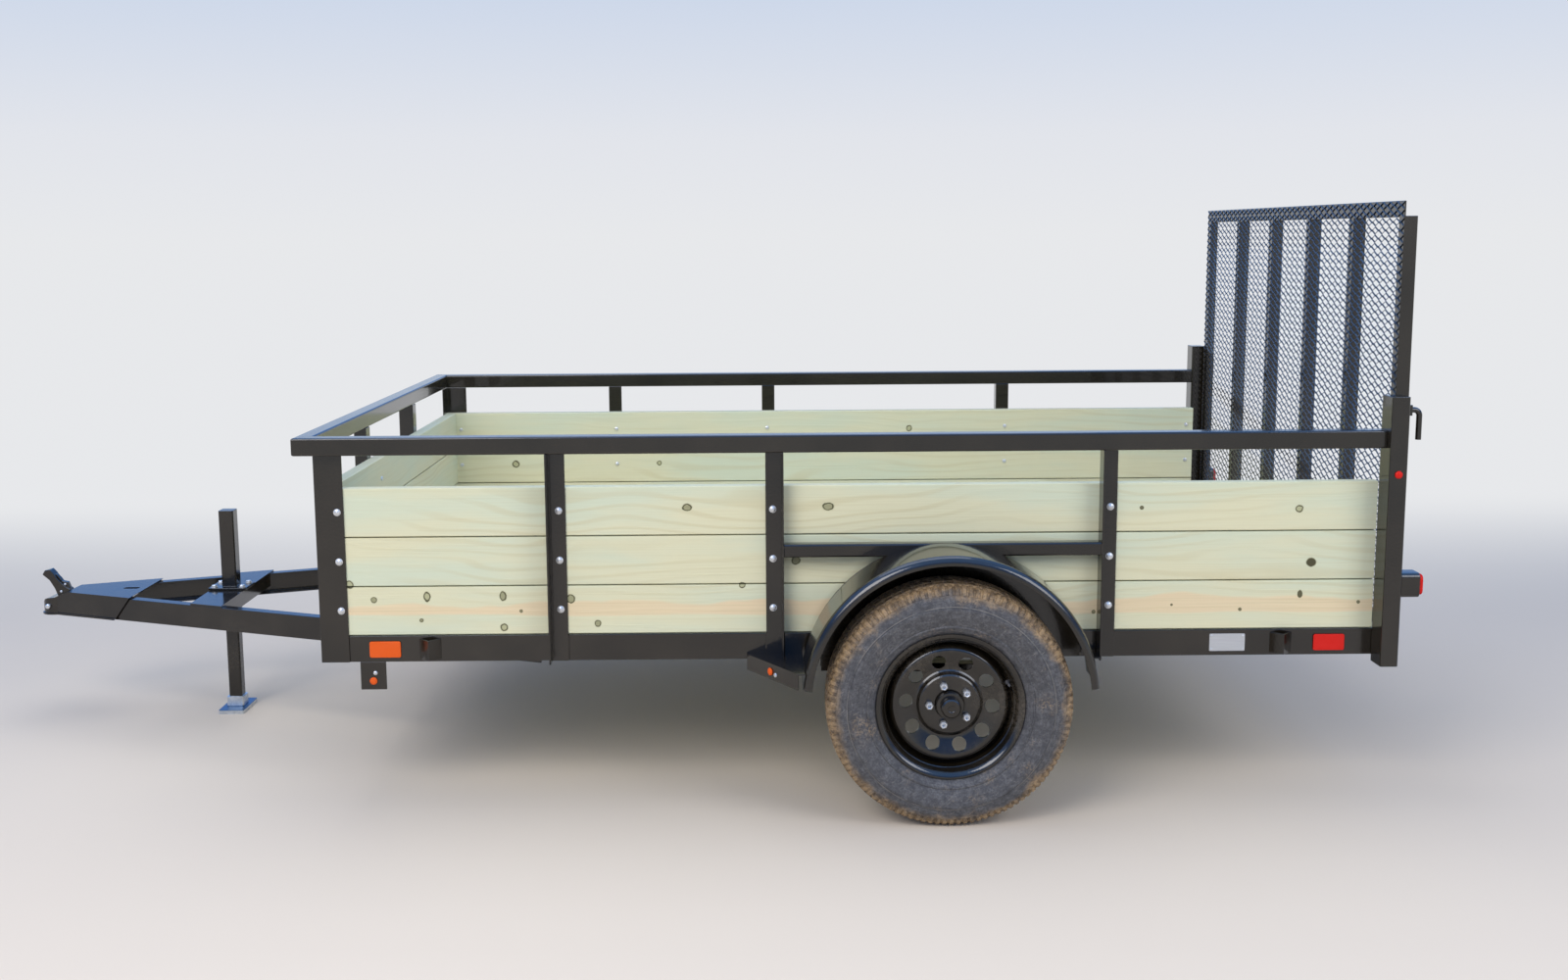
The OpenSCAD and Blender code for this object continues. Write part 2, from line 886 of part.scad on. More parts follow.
// Hanger bent over the spring's end below the rail, with a bolt through the spring's eye
module spring_hanger() {
    cheek_y = spring_w / 2 + hanger_gap;
    outer_y = cheek_y + hanger_t;
    for (side = [-1, 1])
        translate([-hanger_l / 2, side * (cheek_y + hanger_t / 2) - hanger_t / 2, hanger_low_z])
            cube([hanger_l, hanger_t, frame_z - hanger_low_z]);
    translate([-hanger_l / 2, -outer_y, frame_z - hanger_t]) cube([hanger_l, 2 * outer_y, hanger_t]);
    translate([0, -outer_y, eye_z]) rotate([-90, 0, 0]) cylinder(h = 2 * outer_y, r = hanger_bolt_r);
}

module spring_hangers() {
    color(black_paint) placed() both_sides()
        for (side = [-1, 1])
            translate([axle_x + side * spring_half, spring_y, 0]) spring_hanger();
}

clamp_l = 90;
clamp_t = 8;
rod_r = 5.5;
rod_gap = 1;

// Seat on the beam, plate under it and rods that clamp the spring
module axle_clamp() {
    rod_y = spring_w / 2 + rod_r + rod_gap;
    rod_x = beam_r + rod_r + rod_gap;
    plate_half_y = rod_y + 2 * rod_r;
    low_z = axle_z - beam_r - clamp_t;
    top_z = spring_top_z + leaf_rise(clamp_l / 2 + rod_r) + seat_gap;
    difference() {
        translate([-clamp_l / 2, -spring_w / 2, axle_z])
            cube([clamp_l, spring_w, beam_r + seat_h]);
        translate([0, -spring_w, axle_z]) rotate([-90, 0, 0]) cylinder(h = 2 * spring_w, r = beam_r);
        translate([-clamp_l, -spring_w, axle_z - over]) cube([2 * clamp_l, 2 * spring_w, beam_r / 2 + over]);
    }
    for (z = [low_z, top_z])
        translate([-clamp_l / 2 - rod_r, -plate_half_y, z])
            cube([clamp_l + 2 * rod_r, 2 * plate_half_y, clamp_t]);
    for (x = [-1, 1], y = [-1, 1])
        translate([x * rod_x, y * rod_y, low_z]) cylinder(h = top_z + clamp_t - low_z, r = rod_r);
}

module axle_clamps() {
    color(black_paint) placed() both_sides()
        translate([axle_x, spring_y, 0]) axle_clamp();
}

// Wheels, drawn about their own axis with the outer side up

module wheel_at(side) {
    on_side(side) translate([axle_x, wheel_y, axle_z]) rotate([-90, 0, 0]) children();
}

flange_r = 207;
flange_y = 77;
rim_t = 6;
disc_r = 165;
disc_y = 34;
disc_rise = 12;
centre_r = 86;
centre_rise = 14;
hub_r = 40;
hole_r = 20;
hole_circle_r = 121;
lug_circle_r = 57.15;
lug_r = 12;
lug_h = 16;
lug_sides = 6;
hub_flange_t = 10;
hub_flange_r = 74;
cap_r = 28;
cap_h = 24;
lugs = 5;
shoulder_r = 34;
tyre_wall = 12;
bead_w = 20;
groove_w = 7;
groove_d = 8;
// Places of the tread grooves across the tyre, as shares of its width
groove_shares = [-0.246, -0.102, 0.102, 0.246];

module tyre() {
    depth = tyre_r - bead_r;
    bead_out = flange_y - rim_t - seat_gap;
    hollow_low = flange_r + tyre_wall;
    hollow_h = tyre_r - tyre_wall - hollow_low;
    rotate_extrude($fn = 96) difference() {
        translate([bead_r + depth / 2, 0]) round_rect(depth, tyre_w, shoulder_r);
        translate([hollow_low + hollow_h / 2, 0])
            round_rect(hollow_h, tyre_w - 2 * tyre_wall, shoulder_r - tyre_wall);
        translate([bead_r - over, bead_w - bead_out])
            square([hollow_low + hollow_h / 2 - bead_r, 2 * (bead_out - bead_w)]);
        for (side = [0, 1]) mirror([0, side])
            translate([bead_r - over, bead_out])
                square([flange_r + seat_gap - bead_r + over, tyre_w]);
        for (share = groove_shares)
            translate([tyre_r - groove_d, share * tyre_w - groove_w / 2]) square([groove_d + over, groove_w]);
    }
}

module tyre_left() {
    color(rubber) wheel_at("left") tyre();
}

module tyre_right() {
    color(rubber) wheel_at("right") tyre();
}

// Section of the rim's barrel, with a flange at each side
module barrel_section() {
    seat_r = bead_r - seat_gap;
    translate([seat_r - rim_t, -flange_y]) square([rim_t, 2 * flange_y]);
    for (side = [0, 1]) mirror([0, side])
        translate([seat_r - rim_t, flange_y - rim_t]) square([flange_r - seat_r + rim_t, rim_t]);
}

// Section of the pressed disc, outer side up
module disc_section() {
    bore_r = hub_r + seat_gap;
    outer_r = bead_r - seat_gap - rim_t / 2;
    crest_y = disc_y + disc_rise;
    nave_y = disc_y + centre_rise;
    polygon([[outer_r, disc_y - rim_t], [outer_r, disc_y], [disc_r, disc_y], [disc_r - disc_rise, crest_y],
             [centre_r + disc_rise, disc_y], [centre_r, nave_y], [bore_r, nave_y],
             [bore_r, nave_y - rim_t], [centre_r - rim_t, nave_y - rim_t],
             [centre_r + disc_rise - rim_t, disc_y - rim_t],
             [disc_r - disc_rise - rim_t, crest_y - rim_t], [disc_r - rim_t, disc_y - rim_t]]);
}

module rim() {
    difference() {
        rotate_extrude($fn = 96) {
            barrel_section();
            disc_section();
        }
        for (i = [0 : disc_holes - 1])
            rotate([0, 0, i * 360 / disc_holes]) translate([hole_circle_r, 0, 0])
                cylinder(h = 2 * flange_y, r = hole_r, $fn = 32);
    }
}

module rim_left() {
    color(black_paint) wheel_at("left") rim();
}

module rim_right() {
    color(black_paint) wheel_at("right") rim();
}

// Hub with its flange behind the disc, grease cap and lug nuts
module hub() {
    nave_back = disc_y + centre_rise - rim_t;
    nave_front = disc_y + centre_rise;
    difference() {
        union() {
            translate([0, 0, -hub_in]) cylinder(h = hub_in + hub_nose, r = hub_r);
            translate([0, 0, nave_back - hub_flange_t]) cylinder(h = hub_flange_t, r = hub_flange_r);
            translate([0, 0, hub_nose]) cylinder(h = cap_h, r = cap_r);
            translate([0, 0, hub_nose + cap_h])
                cylinder(h = cap_h / 4, r1 = cap_r, r2 = cap_r - cap_h / 4);
            for (i = [0 : lugs - 1])
                rotate([0, 0, 180 + i * 360 / lugs]) translate([lug_circle_r, 0, nave_front])
                    cylinder(h = lug_h, r = lug_r, $fn = lug_sides);
        }
        translate([0, 0, -hub_in - over])
            cylinder(h = hub_in + hub_nose + over, r = spindle_r + run_gap);
    }
}

module hub_left() {
    color(black_paint) wheel_at("left") hub();
}

module hub_right() {
    color(black_paint) wheel_at("right") hub();
}

// Ramp gate

gate_front_gap = 8;
gate_low_drop = 6;
gate_half = half_w - gate_gap;
gate_x = bed_l + gate_front_gap;
gate_z = rail_top_z - gate_low_drop;
gate_frame_x = gate_x + mesh_t;
gate_top_h = 46;
hinge_back = 19;
hinge_drop = 20;
gate_bar_h = gate_h - gate_top_h;
hinge_x = gate_x + hinge_back;
hinge_z = gate_z - hinge_drop;
barrel_r = 11;
barrel_l = 60;
barrel_gap = 1;
hinge_shares = [-0.72, 0, 0.72];
lug_plate_t = 8;

// Upright of the gate, its second leg to the rear
module gate_upright(flipped) {
    translate([gate_frame_x, 0, gate_z]) mirror([0, flipped ? 1 : 0, 0])
        linear_extrude(gate_bar_h) angle_section(gate_leg, gate_leg, gate_t);
}

module gate_frame() {
    pitch = 2 * (gate_half - gate_leg / 2) / (gate_uprights - 1);
    color(black_paint) placed() {
        translate([0, -gate_half, 0]) gate_upright(false);
        translate([0, gate_half, 0]) gate_upright(true);
        for (i = [1 : gate_uprights - 2])
            translate([0, i * pitch - gate_half, 0]) gate_upright(false);
        translate([gate_frame_x, -gate_half, gate_z]) along_y(2 * gate_half)
            angle_section(gate_leg, gate_leg, gate_t);
        translate([gate_frame_x, -gate_half, gate_z + gate_bar_h]) along_y(2 * gate_half)
            angle_section(gate_leg, gate_top_h, gate_t);
    }
}

mesh_cols = 13;
mesh_rows = 18;
mesh_strand_share = 0.16;

// Expanded sheet: rows of diamonds cut from a plate, every second row shifted by half a cell
module mesh_sheet() {
    cell_w = 2 * gate_half / mesh_cols;
    cell_h = gate_h / mesh_rows;
    cut = 1 - mesh_strand_share;
    difference() {
        translate([-gate_half, 0]) square([2 * gate_half, gate_h]);
        for (row = [1 : 2 * mesh_rows - 1], col = [1 : mesh_cols - 1 + row % 2])
            translate([(col - row % 2 / 2) * cell_w - gate_half, row * cell_h / 2])
                polygon([[-cut * cell_w / 2, 0], [0, -cut * cell_h / 2],
                         [cut * cell_w / 2, 0], [0, cut * cell_h / 2]]);
    }
}

module gate_mesh() {
    color(black_paint) placed() translate([gate_x, 0, gate_z]) along_x(mesh_t) mesh_sheet();
}

module gate_barrels() {
    color(black_paint) placed()
        for (share = hinge_shares)
            translate([hinge_x, share * gate_half - barrel_l / 2, hinge_z])
                difference() {
                    union() {
                        rotate([-90, 0, 0]) cylinder(h = barrel_l, r = barrel_r);
                        translate([-gate_t, 0, 0]) cube([2 * gate_t, barrel_l, gate_z - hinge_z]);
                    }
                    translate([0, -over, 0]) rotate([-90, 0, 0])
                        cylinder(h = barrel_l + 2 * over, r = pin_r + run_gap);
                }
}

// Two lugs behind the rear frame angle and the pin between them
module hinge_lug_pair() {
    reach = hinge_x - bed_l;
    outer = barrel_l / 2 + barrel_gap + lug_plate_t;
    for (side = [-1, 1])
        translate([bed_l, side * (outer - lug_plate_t / 2) - lug_plate_t / 2, hinge_z - barrel_r])
            cube([reach, lug_plate_t, 2 * barrel_r]);
    for (side = [-1, 1])
        translate([hinge_x, side * (outer - lug_plate_t / 2) - lug_plate_t / 2, hinge_z])
            rotate([-90, 0, 0]) cylinder(h = lug_plate_t, r = barrel_r);
    translate([hinge_x, -outer, hinge_z]) rotate([-90, 0, 0]) cylinder(h = 2 * outer, r = pin_r);
}

module hinge_lugs() {
    color(black_paint) placed()
        for (share = hinge_shares) translate([0, share * gate_half, 0]) hinge_lug_pair();
}

latch_r = 8;
latch_block = 30;
latch_out = 40;
latch_drop = 84;
latch_bend_r = 16;
latch_below = 40;

// Bent rod handle in a block on the back of a rear post
module latch() {
    rotate([0, 90, 0]) cylinder(h = latch_out - latch_bend_r, r = latch_r);
    translate([latch_out - latch_bend_r, 0, -latch_bend_r]) rotate([90, 0, 0])
        rotate_extrude(angle = 90) translate([latch_bend_r, 0]) circle(latch_r);
    translate([latch_out, 0, -latch_drop]) cylinder(h = latch_drop - latch_bend_r, r = latch_r);
    translate([0, -latch_block / 2, -latch_block / 2])
        cube([latch_block / 2, latch_block, latch_block]);
}

module gate_latches() {
    color(black_paint) placed() both_sides()
        translate([rear_post_end, half_w + rear_post_w / 2, rear_post_z + rear_post_h - latch_below])
            latch();
}

rail_left();
rail_right();
end_members();
joists();
floor_planks();
tongue_rails();
coupler();
coupler_lever();
jack_bridge();
jack_tube();
jack_leg();
corner_posts();
uprights_left();
uprights_right();
front_uprights();
rear_posts();
top_rail_left();
top_rail_right();
top_rail_front();
planks_left();
planks_right();
planks_front();
fender_bars();
fender_left();
fender_right();
fender_brackets();
fender_backs();
stake_pockets();
marker_brackets();
amber_reflectors();
red_reflectors();
amber_markers();
red_markers();
blank_plate();
lamp_housings();
lamp_lenses();
axle();
leaf_springs();
spring_hangers();
axle_clamps();
hub_left();
hub_right();
rim_left();
rim_right();
tyre_left();
tyre_right();
gate_frame();
gate_mesh();
gate_barrels();
hinge_lugs();
gate_latches();
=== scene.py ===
"""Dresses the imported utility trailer: steel, planks, wheels, ramp mesh, lamps and small fittings."""

import logging
import math
from collections.abc import Iterable, Sequence
from dataclasses import dataclass, field
from enum import Enum

import bmesh
import bpy
from mathutils import Matrix, Vector


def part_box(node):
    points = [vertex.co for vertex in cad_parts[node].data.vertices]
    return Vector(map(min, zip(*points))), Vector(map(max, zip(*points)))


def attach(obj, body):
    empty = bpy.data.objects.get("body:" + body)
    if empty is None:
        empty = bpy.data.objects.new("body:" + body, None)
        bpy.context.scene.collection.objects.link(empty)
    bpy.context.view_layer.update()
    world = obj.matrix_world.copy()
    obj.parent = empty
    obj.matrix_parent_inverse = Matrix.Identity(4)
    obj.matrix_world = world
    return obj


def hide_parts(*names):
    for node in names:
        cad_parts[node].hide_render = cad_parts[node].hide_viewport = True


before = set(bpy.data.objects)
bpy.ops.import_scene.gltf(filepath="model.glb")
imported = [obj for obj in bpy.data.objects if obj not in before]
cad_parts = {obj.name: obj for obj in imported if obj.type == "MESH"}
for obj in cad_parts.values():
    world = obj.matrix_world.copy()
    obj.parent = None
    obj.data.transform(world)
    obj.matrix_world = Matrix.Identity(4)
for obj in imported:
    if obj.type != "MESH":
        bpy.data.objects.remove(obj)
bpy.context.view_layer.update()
LOG = logging.getLogger("trailer")
HEX_SIDES = 6

Socket = bpy.types.NodeSocket
Material = bpy.types.Material
Mesh = bmesh.types.BMesh
Face = bmesh.types.BMFace
Colour = tuple[float, float, float]
Point = tuple[float, float, float]
Span = tuple[float, float]
Section = tuple[Span, ...]


class Slot(Enum):
    """Record slots that a piece can fill."""

    BLACK = "black_paint"
    ZINC = "zinc"
    TYRE = "tyre"
    AMBER = "amber_lens"
    RED = "red_lens"


class Body(Enum):
    """Bodies that a piece can ride on."""

    CHASSIS = "chassis"
    WHEEL_LEFT = "wheel_left"
    WHEEL_RIGHT = "wheel_right"
    GATE = "gate"
    JACK = "jack_leg"


class Side(Enum):
    """Side of the trailer, as the sign of its Y."""

    LEFT = -1
    RIGHT = 1

    @property
    def word(self) -> str:
        """Name of the side in piece and node names."""
        return self.name.lower()

    @property
    def out(self) -> Point:
        """Direction away from the trailer on this side."""
        return (0.0, float(self.value), 0.0)

    @property
    def wheel(self) -> Body:
        """Wheel body on this side."""
        return Body.WHEEL_LEFT if self is Side.LEFT else Body.WHEEL_RIGHT


class NodeGraph:
    """Adds and links the nodes of one node tree."""

    def __init__(self, tree: bpy.types.NodeTree) -> None:
        """Takes the tree to add to."""
        self.tree = tree

    def add(self, kind: str, **settings: object) -> bpy.types.Node:
        """Adds one node.

        Args:
            kind: Type name of the node.
            settings: Properties set on it.

        Returns:
            The new node.
        """
        node = self.tree.nodes.new(kind)
        for key, value in settings.items():
            setattr(node, key, value)
        return node

    def feed(self, socket: Socket, value: object) -> None:
        """Links a socket to another one or sets its constant.

        Args:
            socket: Input to feed.
            value: Output socket, number or colour.
        """
        if isinstance(value, Socket):
            self.tree.links.new(value, socket)
        elif socket.type == "RGBA":
            socket.default_value = (*value, 1.0)
        else:
            socket.default_value = value

    def math(self, operation: str, a: object, b: object = 0.0, c: object = 0.0,
             clamp: bool = False) -> Socket:
        """Adds a Math node.

        Args:
            operation: Name of the operation.
            a: First value.
            b: Second value.
            c: Third value.
            clamp: Whether the result stays within 0 and 1.

        Returns:
            The node's value output.
        """
        node = self.add("ShaderNodeMath", operation=operation, use_clamp=clamp)
        for socket, value in zip(node.inputs, (a, b, c)):
            self.feed(socket, value)
        return node.outputs[0]

    def times(self, a: object, b: object) -> Socket:
        """Multiplies two values."""
        return self.math("MULTIPLY", a, b)

    def plus(self, a: object, b: object, clamp: bool = False) -> Socket:
        """Adds two values."""
        return self.math("ADD", a, b, clamp=clamp)

    def minus(self, a: object, b: object) -> Socket:
        """Takes the second value from the first."""
        return self.math("SUBTRACT", a, b)

    def most(self, a: object, b: object) -> Socket:
        """Takes the larger of two values."""
        return self.math("MAXIMUM", a, b)

    def off(self, value: object, middle: float) -> Socket:
        """Finds how far a value is from a middle, either way."""
        return self.math("ABSOLUTE", self.minus(value, middle))

    def scaled(self, value: object, factor: float, offset: object) -> Socket:
        """Multiplies a value and adds an offset."""
        return self.math("MULTIPLY_ADD", value, factor, offset)

    def centred(self, value: object, reach: float) -> Socket:
        """Spreads a value from 0 to 1 evenly about zero."""
        return self.times(self.minus(value, 0.5), reach)

    def between(self, value: object, low: float, high: float) -> Socket:
        """Adds a smooth step.

        Args:
            value: Value to test.
            low: Where the step is 0.
            high: Where the step is 1.

        Returns:
            Output from 0 to 1.
        """
        node = self.add("ShaderNodeMapRange", interpolation_type="SMOOTHSTEP")
        self.feed(node.inputs["Value"], value)
        node.inputs["From Min"].default_value = low
        node.inputs["From Max"].default_value = high
        return node.outputs[0]

    def split(self, vector: Socket) -> list[Socket]:
        """Splits a vector into its three parts."""
        node = self.add("ShaderNodeSeparateXYZ")
        self.feed(node.inputs[0], vector)
        return list(node.outputs)

    def join(self, x: object, y: object, z: object) -> Socket:
        """Joins three values into a vector."""
        node = self.add("ShaderNodeCombineXYZ")
        for socket, value in zip(node.inputs, (x, y, z)):
            self.feed(socket, value)
        return node.outputs[0]

    def noise(self, vector: Socket, scale: float, detail: float = 4.0, rough: float = 0.55) -> Socket:
        """Adds a noise texture.

        Args:
            vector: Coordinates to read.
            scale: Cells per metre.
            detail: Octaves.
            rough: Strength of the finer octaves.

        Returns:
            The noise value from 0 to 1.
        """
        node = self.add("ShaderNodeTexNoise")
        self.feed(node.inputs["Vector"], vector)
        node.inputs["Scale"].default_value = scale
        node.inputs["Detail"].default_value = detail
        node.inputs["Roughness"].default_value = rough
        return node.outputs["Fac"]

    def mix(self, share: object, a: object, b: object) -> Socket:
        """Mixes two colours.

        Args:
            share: Share of the second colour.
            a: First colour.
            b: Second colour.

        Returns:
            The mixed colour.
        """
        node = self.add("ShaderNodeMix", data_type="RGBA")
        self.feed(node.inputs["Factor"], share)
        colours = [socket for socket in node.inputs if socket.type == "RGBA"]
        self.feed(colours[0], a)
        self.feed(colours[1], b)
        return [socket for socket in node.outputs if socket.type == "RGBA"][0]

    def ramp(self, value: Socket, stops: Sequence[tuple[float, Colour]]) -> Socket:
        """Grades a colour by a value.

        Args:
            value: Value from 0 to 1.
            stops: Values and their colours.

        Returns:
            The colour.
        """
        node = self.add("ShaderNodeValToRGB")
        self.feed(node.inputs[0], value)
        elements = node.color_ramp.elements
        while len(elements) < len(stops):
            elements.new(0.5)
        for element, (at, colour) in zip(elements, stops):
            element.position = at
            element.color = (*colour, 1.0)
        return node.outputs[0]


class ShaderGraph(NodeGraph):
    """Adds and links the shader nodes of one material."""

    def __init__(self, name: str) -> None:
        """Starts a node material with its Principled shader and Object coordinates."""
        self.material = bpy.data.materials.new(name)
        self.material.use_nodes = True
        super().__init__(self.material.node_tree)
        self.shader = self.tree.nodes["Principled BSDF"]
        self.place = self.add("ShaderNodeTexCoord").outputs["Object"]

    def stretched(self, scale: Point, source: Socket | None = None) -> Socket:
        """Scales the coordinates along each axis.

        Args:
            scale: Factor for each axis.
            source: Vector to scale, or None for the Object coordinates.

        Returns:
            The scaled vector.
        """
        node = self.add("ShaderNodeMapping")
        self.feed(node.inputs["Vector"], source or self.place)
        node.inputs["Scale"].default_value = scale
        return node.outputs[0]

    def bump(self, height: Socket, depth: float) -> None:
        """Feeds the shader's normal from a height.

        Args:
            height: Height from 0 to 1.
            depth: Depth in metres of a height of 1.
        """
        node = self.add("ShaderNodeBump")
        node.inputs["Distance"].default_value = depth
        self.feed(node.inputs["Height"], height)
        self.set(Normal=node.outputs[0])

    def set(self, **values: object) -> None:
        """Feeds the Principled shader's sockets, underscores standing for spaces."""
        for key, value in values.items():
            self.feed(self.shader.inputs[key.replace("_", " ")], value)


@dataclass(frozen=True)
class BlackPaint:
    """Gloss black paint with a faint orange peel, a cloudy haze and road dust low down."""

    name: str = "black_gloss_paint"
    colour: Colour = (0.0075, 0.0058, 0.0036)
    haze: Colour = (0.0150, 0.0118, 0.0076)
    dust: Colour = (0.115, 0.092, 0.066)
    dust_from: float = 0.62
    dust_to: float = 0.05
    dust_share: float = 0.30
    roughness: float = 0.10
    spread: float = 0.12
    cloud_scale: float = 5.0
    grit_scale: float = 90.0
    peel_scale: float = 140.0
    peel_depth: float = 0.00025
    hazy: Span = (0.3, 0.75)
    patchy: Span = (0.40, 0.72)
    gritty: Span = (0.36, 0.66)

    def make(self) -> Material:
        """Builds the material."""
        g = ShaderGraph(self.name)
        cloud = g.noise(g.place, self.cloud_scale, detail=6.0)
        grit = g.noise(g.place, self.grit_scale, detail=5.0, rough=0.7)
        low = g.between(g.split(g.place)[2], self.dust_from, self.dust_to)
        settled = g.times(g.between(cloud, *self.patchy), g.between(grit, *self.gritty))
        dust = g.times(g.times(settled, low), self.dust_share)
        paint = g.mix(g.between(cloud, *self.hazy), self.colour, self.haze)
        gloss = g.scaled(cloud, self.spread, self.roughness)
        g.set(Base_Color=g.mix(dust, paint, self.dust), Roughness=g.plus(gloss, dust, clamp=True))
        g.set(Specular_IOR_Level=0.4, Coat_Weight=0.4, Coat_Roughness=0.03)
        g.bump(g.noise(g.place, self.peel_scale, detail=2.0), self.peel_depth)
        return g.material


@dataclass(frozen=True)
class ZincPlate:
    """Zinc-plated steel, cool grey with faint cloudy spangle, and, if asked for, a painted blue sky
    reflection on one level face.
    """

    name: str = "zinc_plating"
    bright: Colour = (0.66, 0.67, 0.68)
    dull: Colour = (0.52, 0.53, 0.54)
    metallic: float = 0.6
    roughness: float = 0.22
    spread: float = 0.16
    cloud_scale: float = 60.0
    fine_scale: float = 700.0
    fine_depth: float = 0.00012
    cloudy: Span = (0.35, 0.7)
    # Painted sky reflection: a blue colour laid on the one level face at the given height, standing in for
    # the sky mirrored there.
    painted_sky_reflection: Colour | None = None
    reflection_face_z: float = 0.0
    reflection_face_depth: float = 0.002

    def make(self) -> Material:
        """Builds the material."""
        g = ShaderGraph(self.name)
        cloud = g.noise(g.place, self.cloud_scale, detail=4.0)
        fine = g.noise(g.place, self.fine_scale, detail=3.0)
        tone = g.mix(g.between(cloud, *self.cloudy), self.bright, self.dull)
        # Paints the sky reflection as colour on the level face, fading in over the given depth.
        if self.painted_sky_reflection is not None:
            off_face = g.off(g.split(g.place)[2], self.reflection_face_z)
            tone = g.mix(g.between(off_face, self.reflection_face_depth, self.reflection_face_depth / 2), tone, self.painted_sky_reflection)
        g.set(Base_Color=tone, Metallic=self.metallic, Roughness=g.scaled(fine, self.spread, self.roughness))
        g.bump(fine, self.fine_depth)
        return g.material


@dataclass(frozen=True)
class Knot:
    """A knot on a wall plank: its place, half height, how dark its middle is and its width as a share."""

    along: float
    across: float
    radius: float
    fill: float = 0.0
    width: float = 1.0


@dataclass(frozen=True)
class Pine:
    """Pressure-treated pine planks, grain along one axis, with knots and a brown heart stripe.

    Each scale holds the cells per metre along and across the grain.
    """

    name: str
    along: int
    across: int
    start: float
    pitch: float
    seed: float
    knots: tuple[Knot, ...] = ()
    knot_side: float = 0.0
    heart_at: float = 0.0
    heart_half: float = 0.0
    heart_grow: float = 0.0
    pale: Colour = (0.63, 0.615, 0.425)
    green: Colour = (0.560, 0.61, 0.465)
    line: Colour = (0.50, 0.445, 0.26)
    heart: Colour = (0.690, 0.560, 0.365)
    ring: Colour = (0.34, 0.34, 0.18)
    core: Colour = (0.070, 0.064, 0.032)
    plank_shift: float = 3.71
    sway_scale: Span = (0.9, 4.0)
    fibre_scale: Span = (2.2, 190.0)
    patch_scale: Span = (1.3, 7.0)
    cell_scale: Span = (2.3, 5.0)
    rings: float = 30.0
    ring_sway: float = 9.0
    ring_bend: float = 1.6
    ring_edge: Span = (0.15, 1.0)
    patchy: Span = (0.36, 0.66)
    lined: Span = (0.38, 0.62)
    line_share: float = 0.34
    fibrous: Span = (0.50, 0.78)
    fibre_share: float = 0.30
    heart_drift: float = 0.05
    heart_ragged: float = 0.012
    heart_soft: float = 0.6
    heart_patchy: Span = (-0.35, 0.70)
    wave_scale: float = 3.6
    swell: float = 0.045
    swell_lean: float = 0.6
    streaked: Span = (0.46, 0.70)
    streak_share: float = 0.35
    halo_share: float = 0.75
    wander_scale: float = 75.0
    spot_wander: float = 0.03
    spot_chosen: Span = (0.60, 0.64)
    spot_edge: Span = (0.050, 0.043)
    spot_hole: Span = (0.026, 0.036)
    spot_halo: Span = (0.064, 0.044)
    knot_edge: Span = (1.05, 0.80)
    knot_hole: Span = (0.30, 0.66)
    knot_middle: Span = (1.0, 0.55)
    knot_halo: Span = (1.45, 0.75)
    roughness: float = 0.50
    spread: float = 0.22
    growth_height: float = 0.35
    grain_depth: float = 0.0006

    def make(self) -> Material:
        """Builds the material."""
        g = ShaderGraph(self.name)
        parts = g.split(g.place)
        depth_axis = 3 - self.along - self.across
        u, v, w = parts[self.along], parts[self.across], parts[depth_axis]
        index = g.math("FLOOR", g.math("DIVIDE", g.minus(v, self.start), self.pitch))
        offset = g.scaled(index, self.plank_shift, self.seed)
        run = g.plus(u, offset)
        spot, spot_halo = self._scattered(g, run, v, offset)
        placed, placed_halo = self._placed(g, u, v, w)
        halo = g.most(spot_halo, placed_halo)
        sway = g.noise(self._drawn(g, run, v, self.sway_scale, offset), 1.0, detail=2.0)
        lines = g.scaled(v, self.rings, g.times(sway, self.ring_sway))
        bent = g.plus(lines, g.times(halo, self.ring_bend))
        growth = g.between(g.math("SINE", g.times(bent, math.tau)), *self.ring_edge)
        through = g.times(w, self.fibre_scale[1])
        fibre = g.noise(self._drawn(g, run, v, self.fibre_scale, through), 1.0, detail=4.0, rough=0.65)
        patch = g.noise(self._drawn(g, run, v, self.patch_scale, offset), 1.0, detail=3.0)
        wood = g.mix(g.between(patch, *self.patchy), self.pale, self.green)
        wood = g.mix(g.times(growth, g.times(g.between(sway, *self.lined), self.line_share)), wood, self.line)
        wood = g.mix(g.times(g.between(fibre, *self.fibrous), self.fibre_share), wood, self.line)
        if self.heart_half > 0.0:
            wave = g.noise(g.join(g.times(run, self.wave_scale), offset, 0.0), 1.0, detail=2.0)
            swell = g.centred(wave, self.swell)
            drift = g.scaled(sway, self.heart_drift, -self.heart_at - self.heart_drift / 2)
            middle = g.plus(g.plus(v, drift), g.times(swell, self.swell_lean))
            away = g.plus(g.plus(g.math("ABSOLUTE", middle), swell), g.centred(fibre, self.heart_ragged))
            widened = g.minus(away, g.times(u, self.heart_grow))
            stripe = g.between(widened, self.heart_half, self.heart_half * self.heart_soft)
            wood = g.mix(g.times(stripe, g.between(patch, *self.heart_patchy)), wood, self.heart)
            streak = g.times(stripe, g.between(fibre, *self.streaked))
            wood = g.mix(g.times(streak, self.streak_share), wood, self.line)
        wood = g.mix(g.times(halo, self.halo_share), wood, self.ring)
        g.set(Base_Color=g.mix(g.most(spot, placed), wood, self.core), Specular_IOR_Level=0.25)
        g.set(Roughness=g.scaled(fibre, self.spread, self.roughness))
        g.bump(g.plus(fibre, g.times(growth, self.growth_height)), self.grain_depth)
        return g.material

    @staticmethod
    def _drawn(g: ShaderGraph, run: Socket, v: Socket, scale: Span, through: Socket) -> Socket:
        """Scales the places along and across the grain and joins them with a third value."""
        return g.join(g.times(run, scale[0]), g.times(v, scale[1]), through)

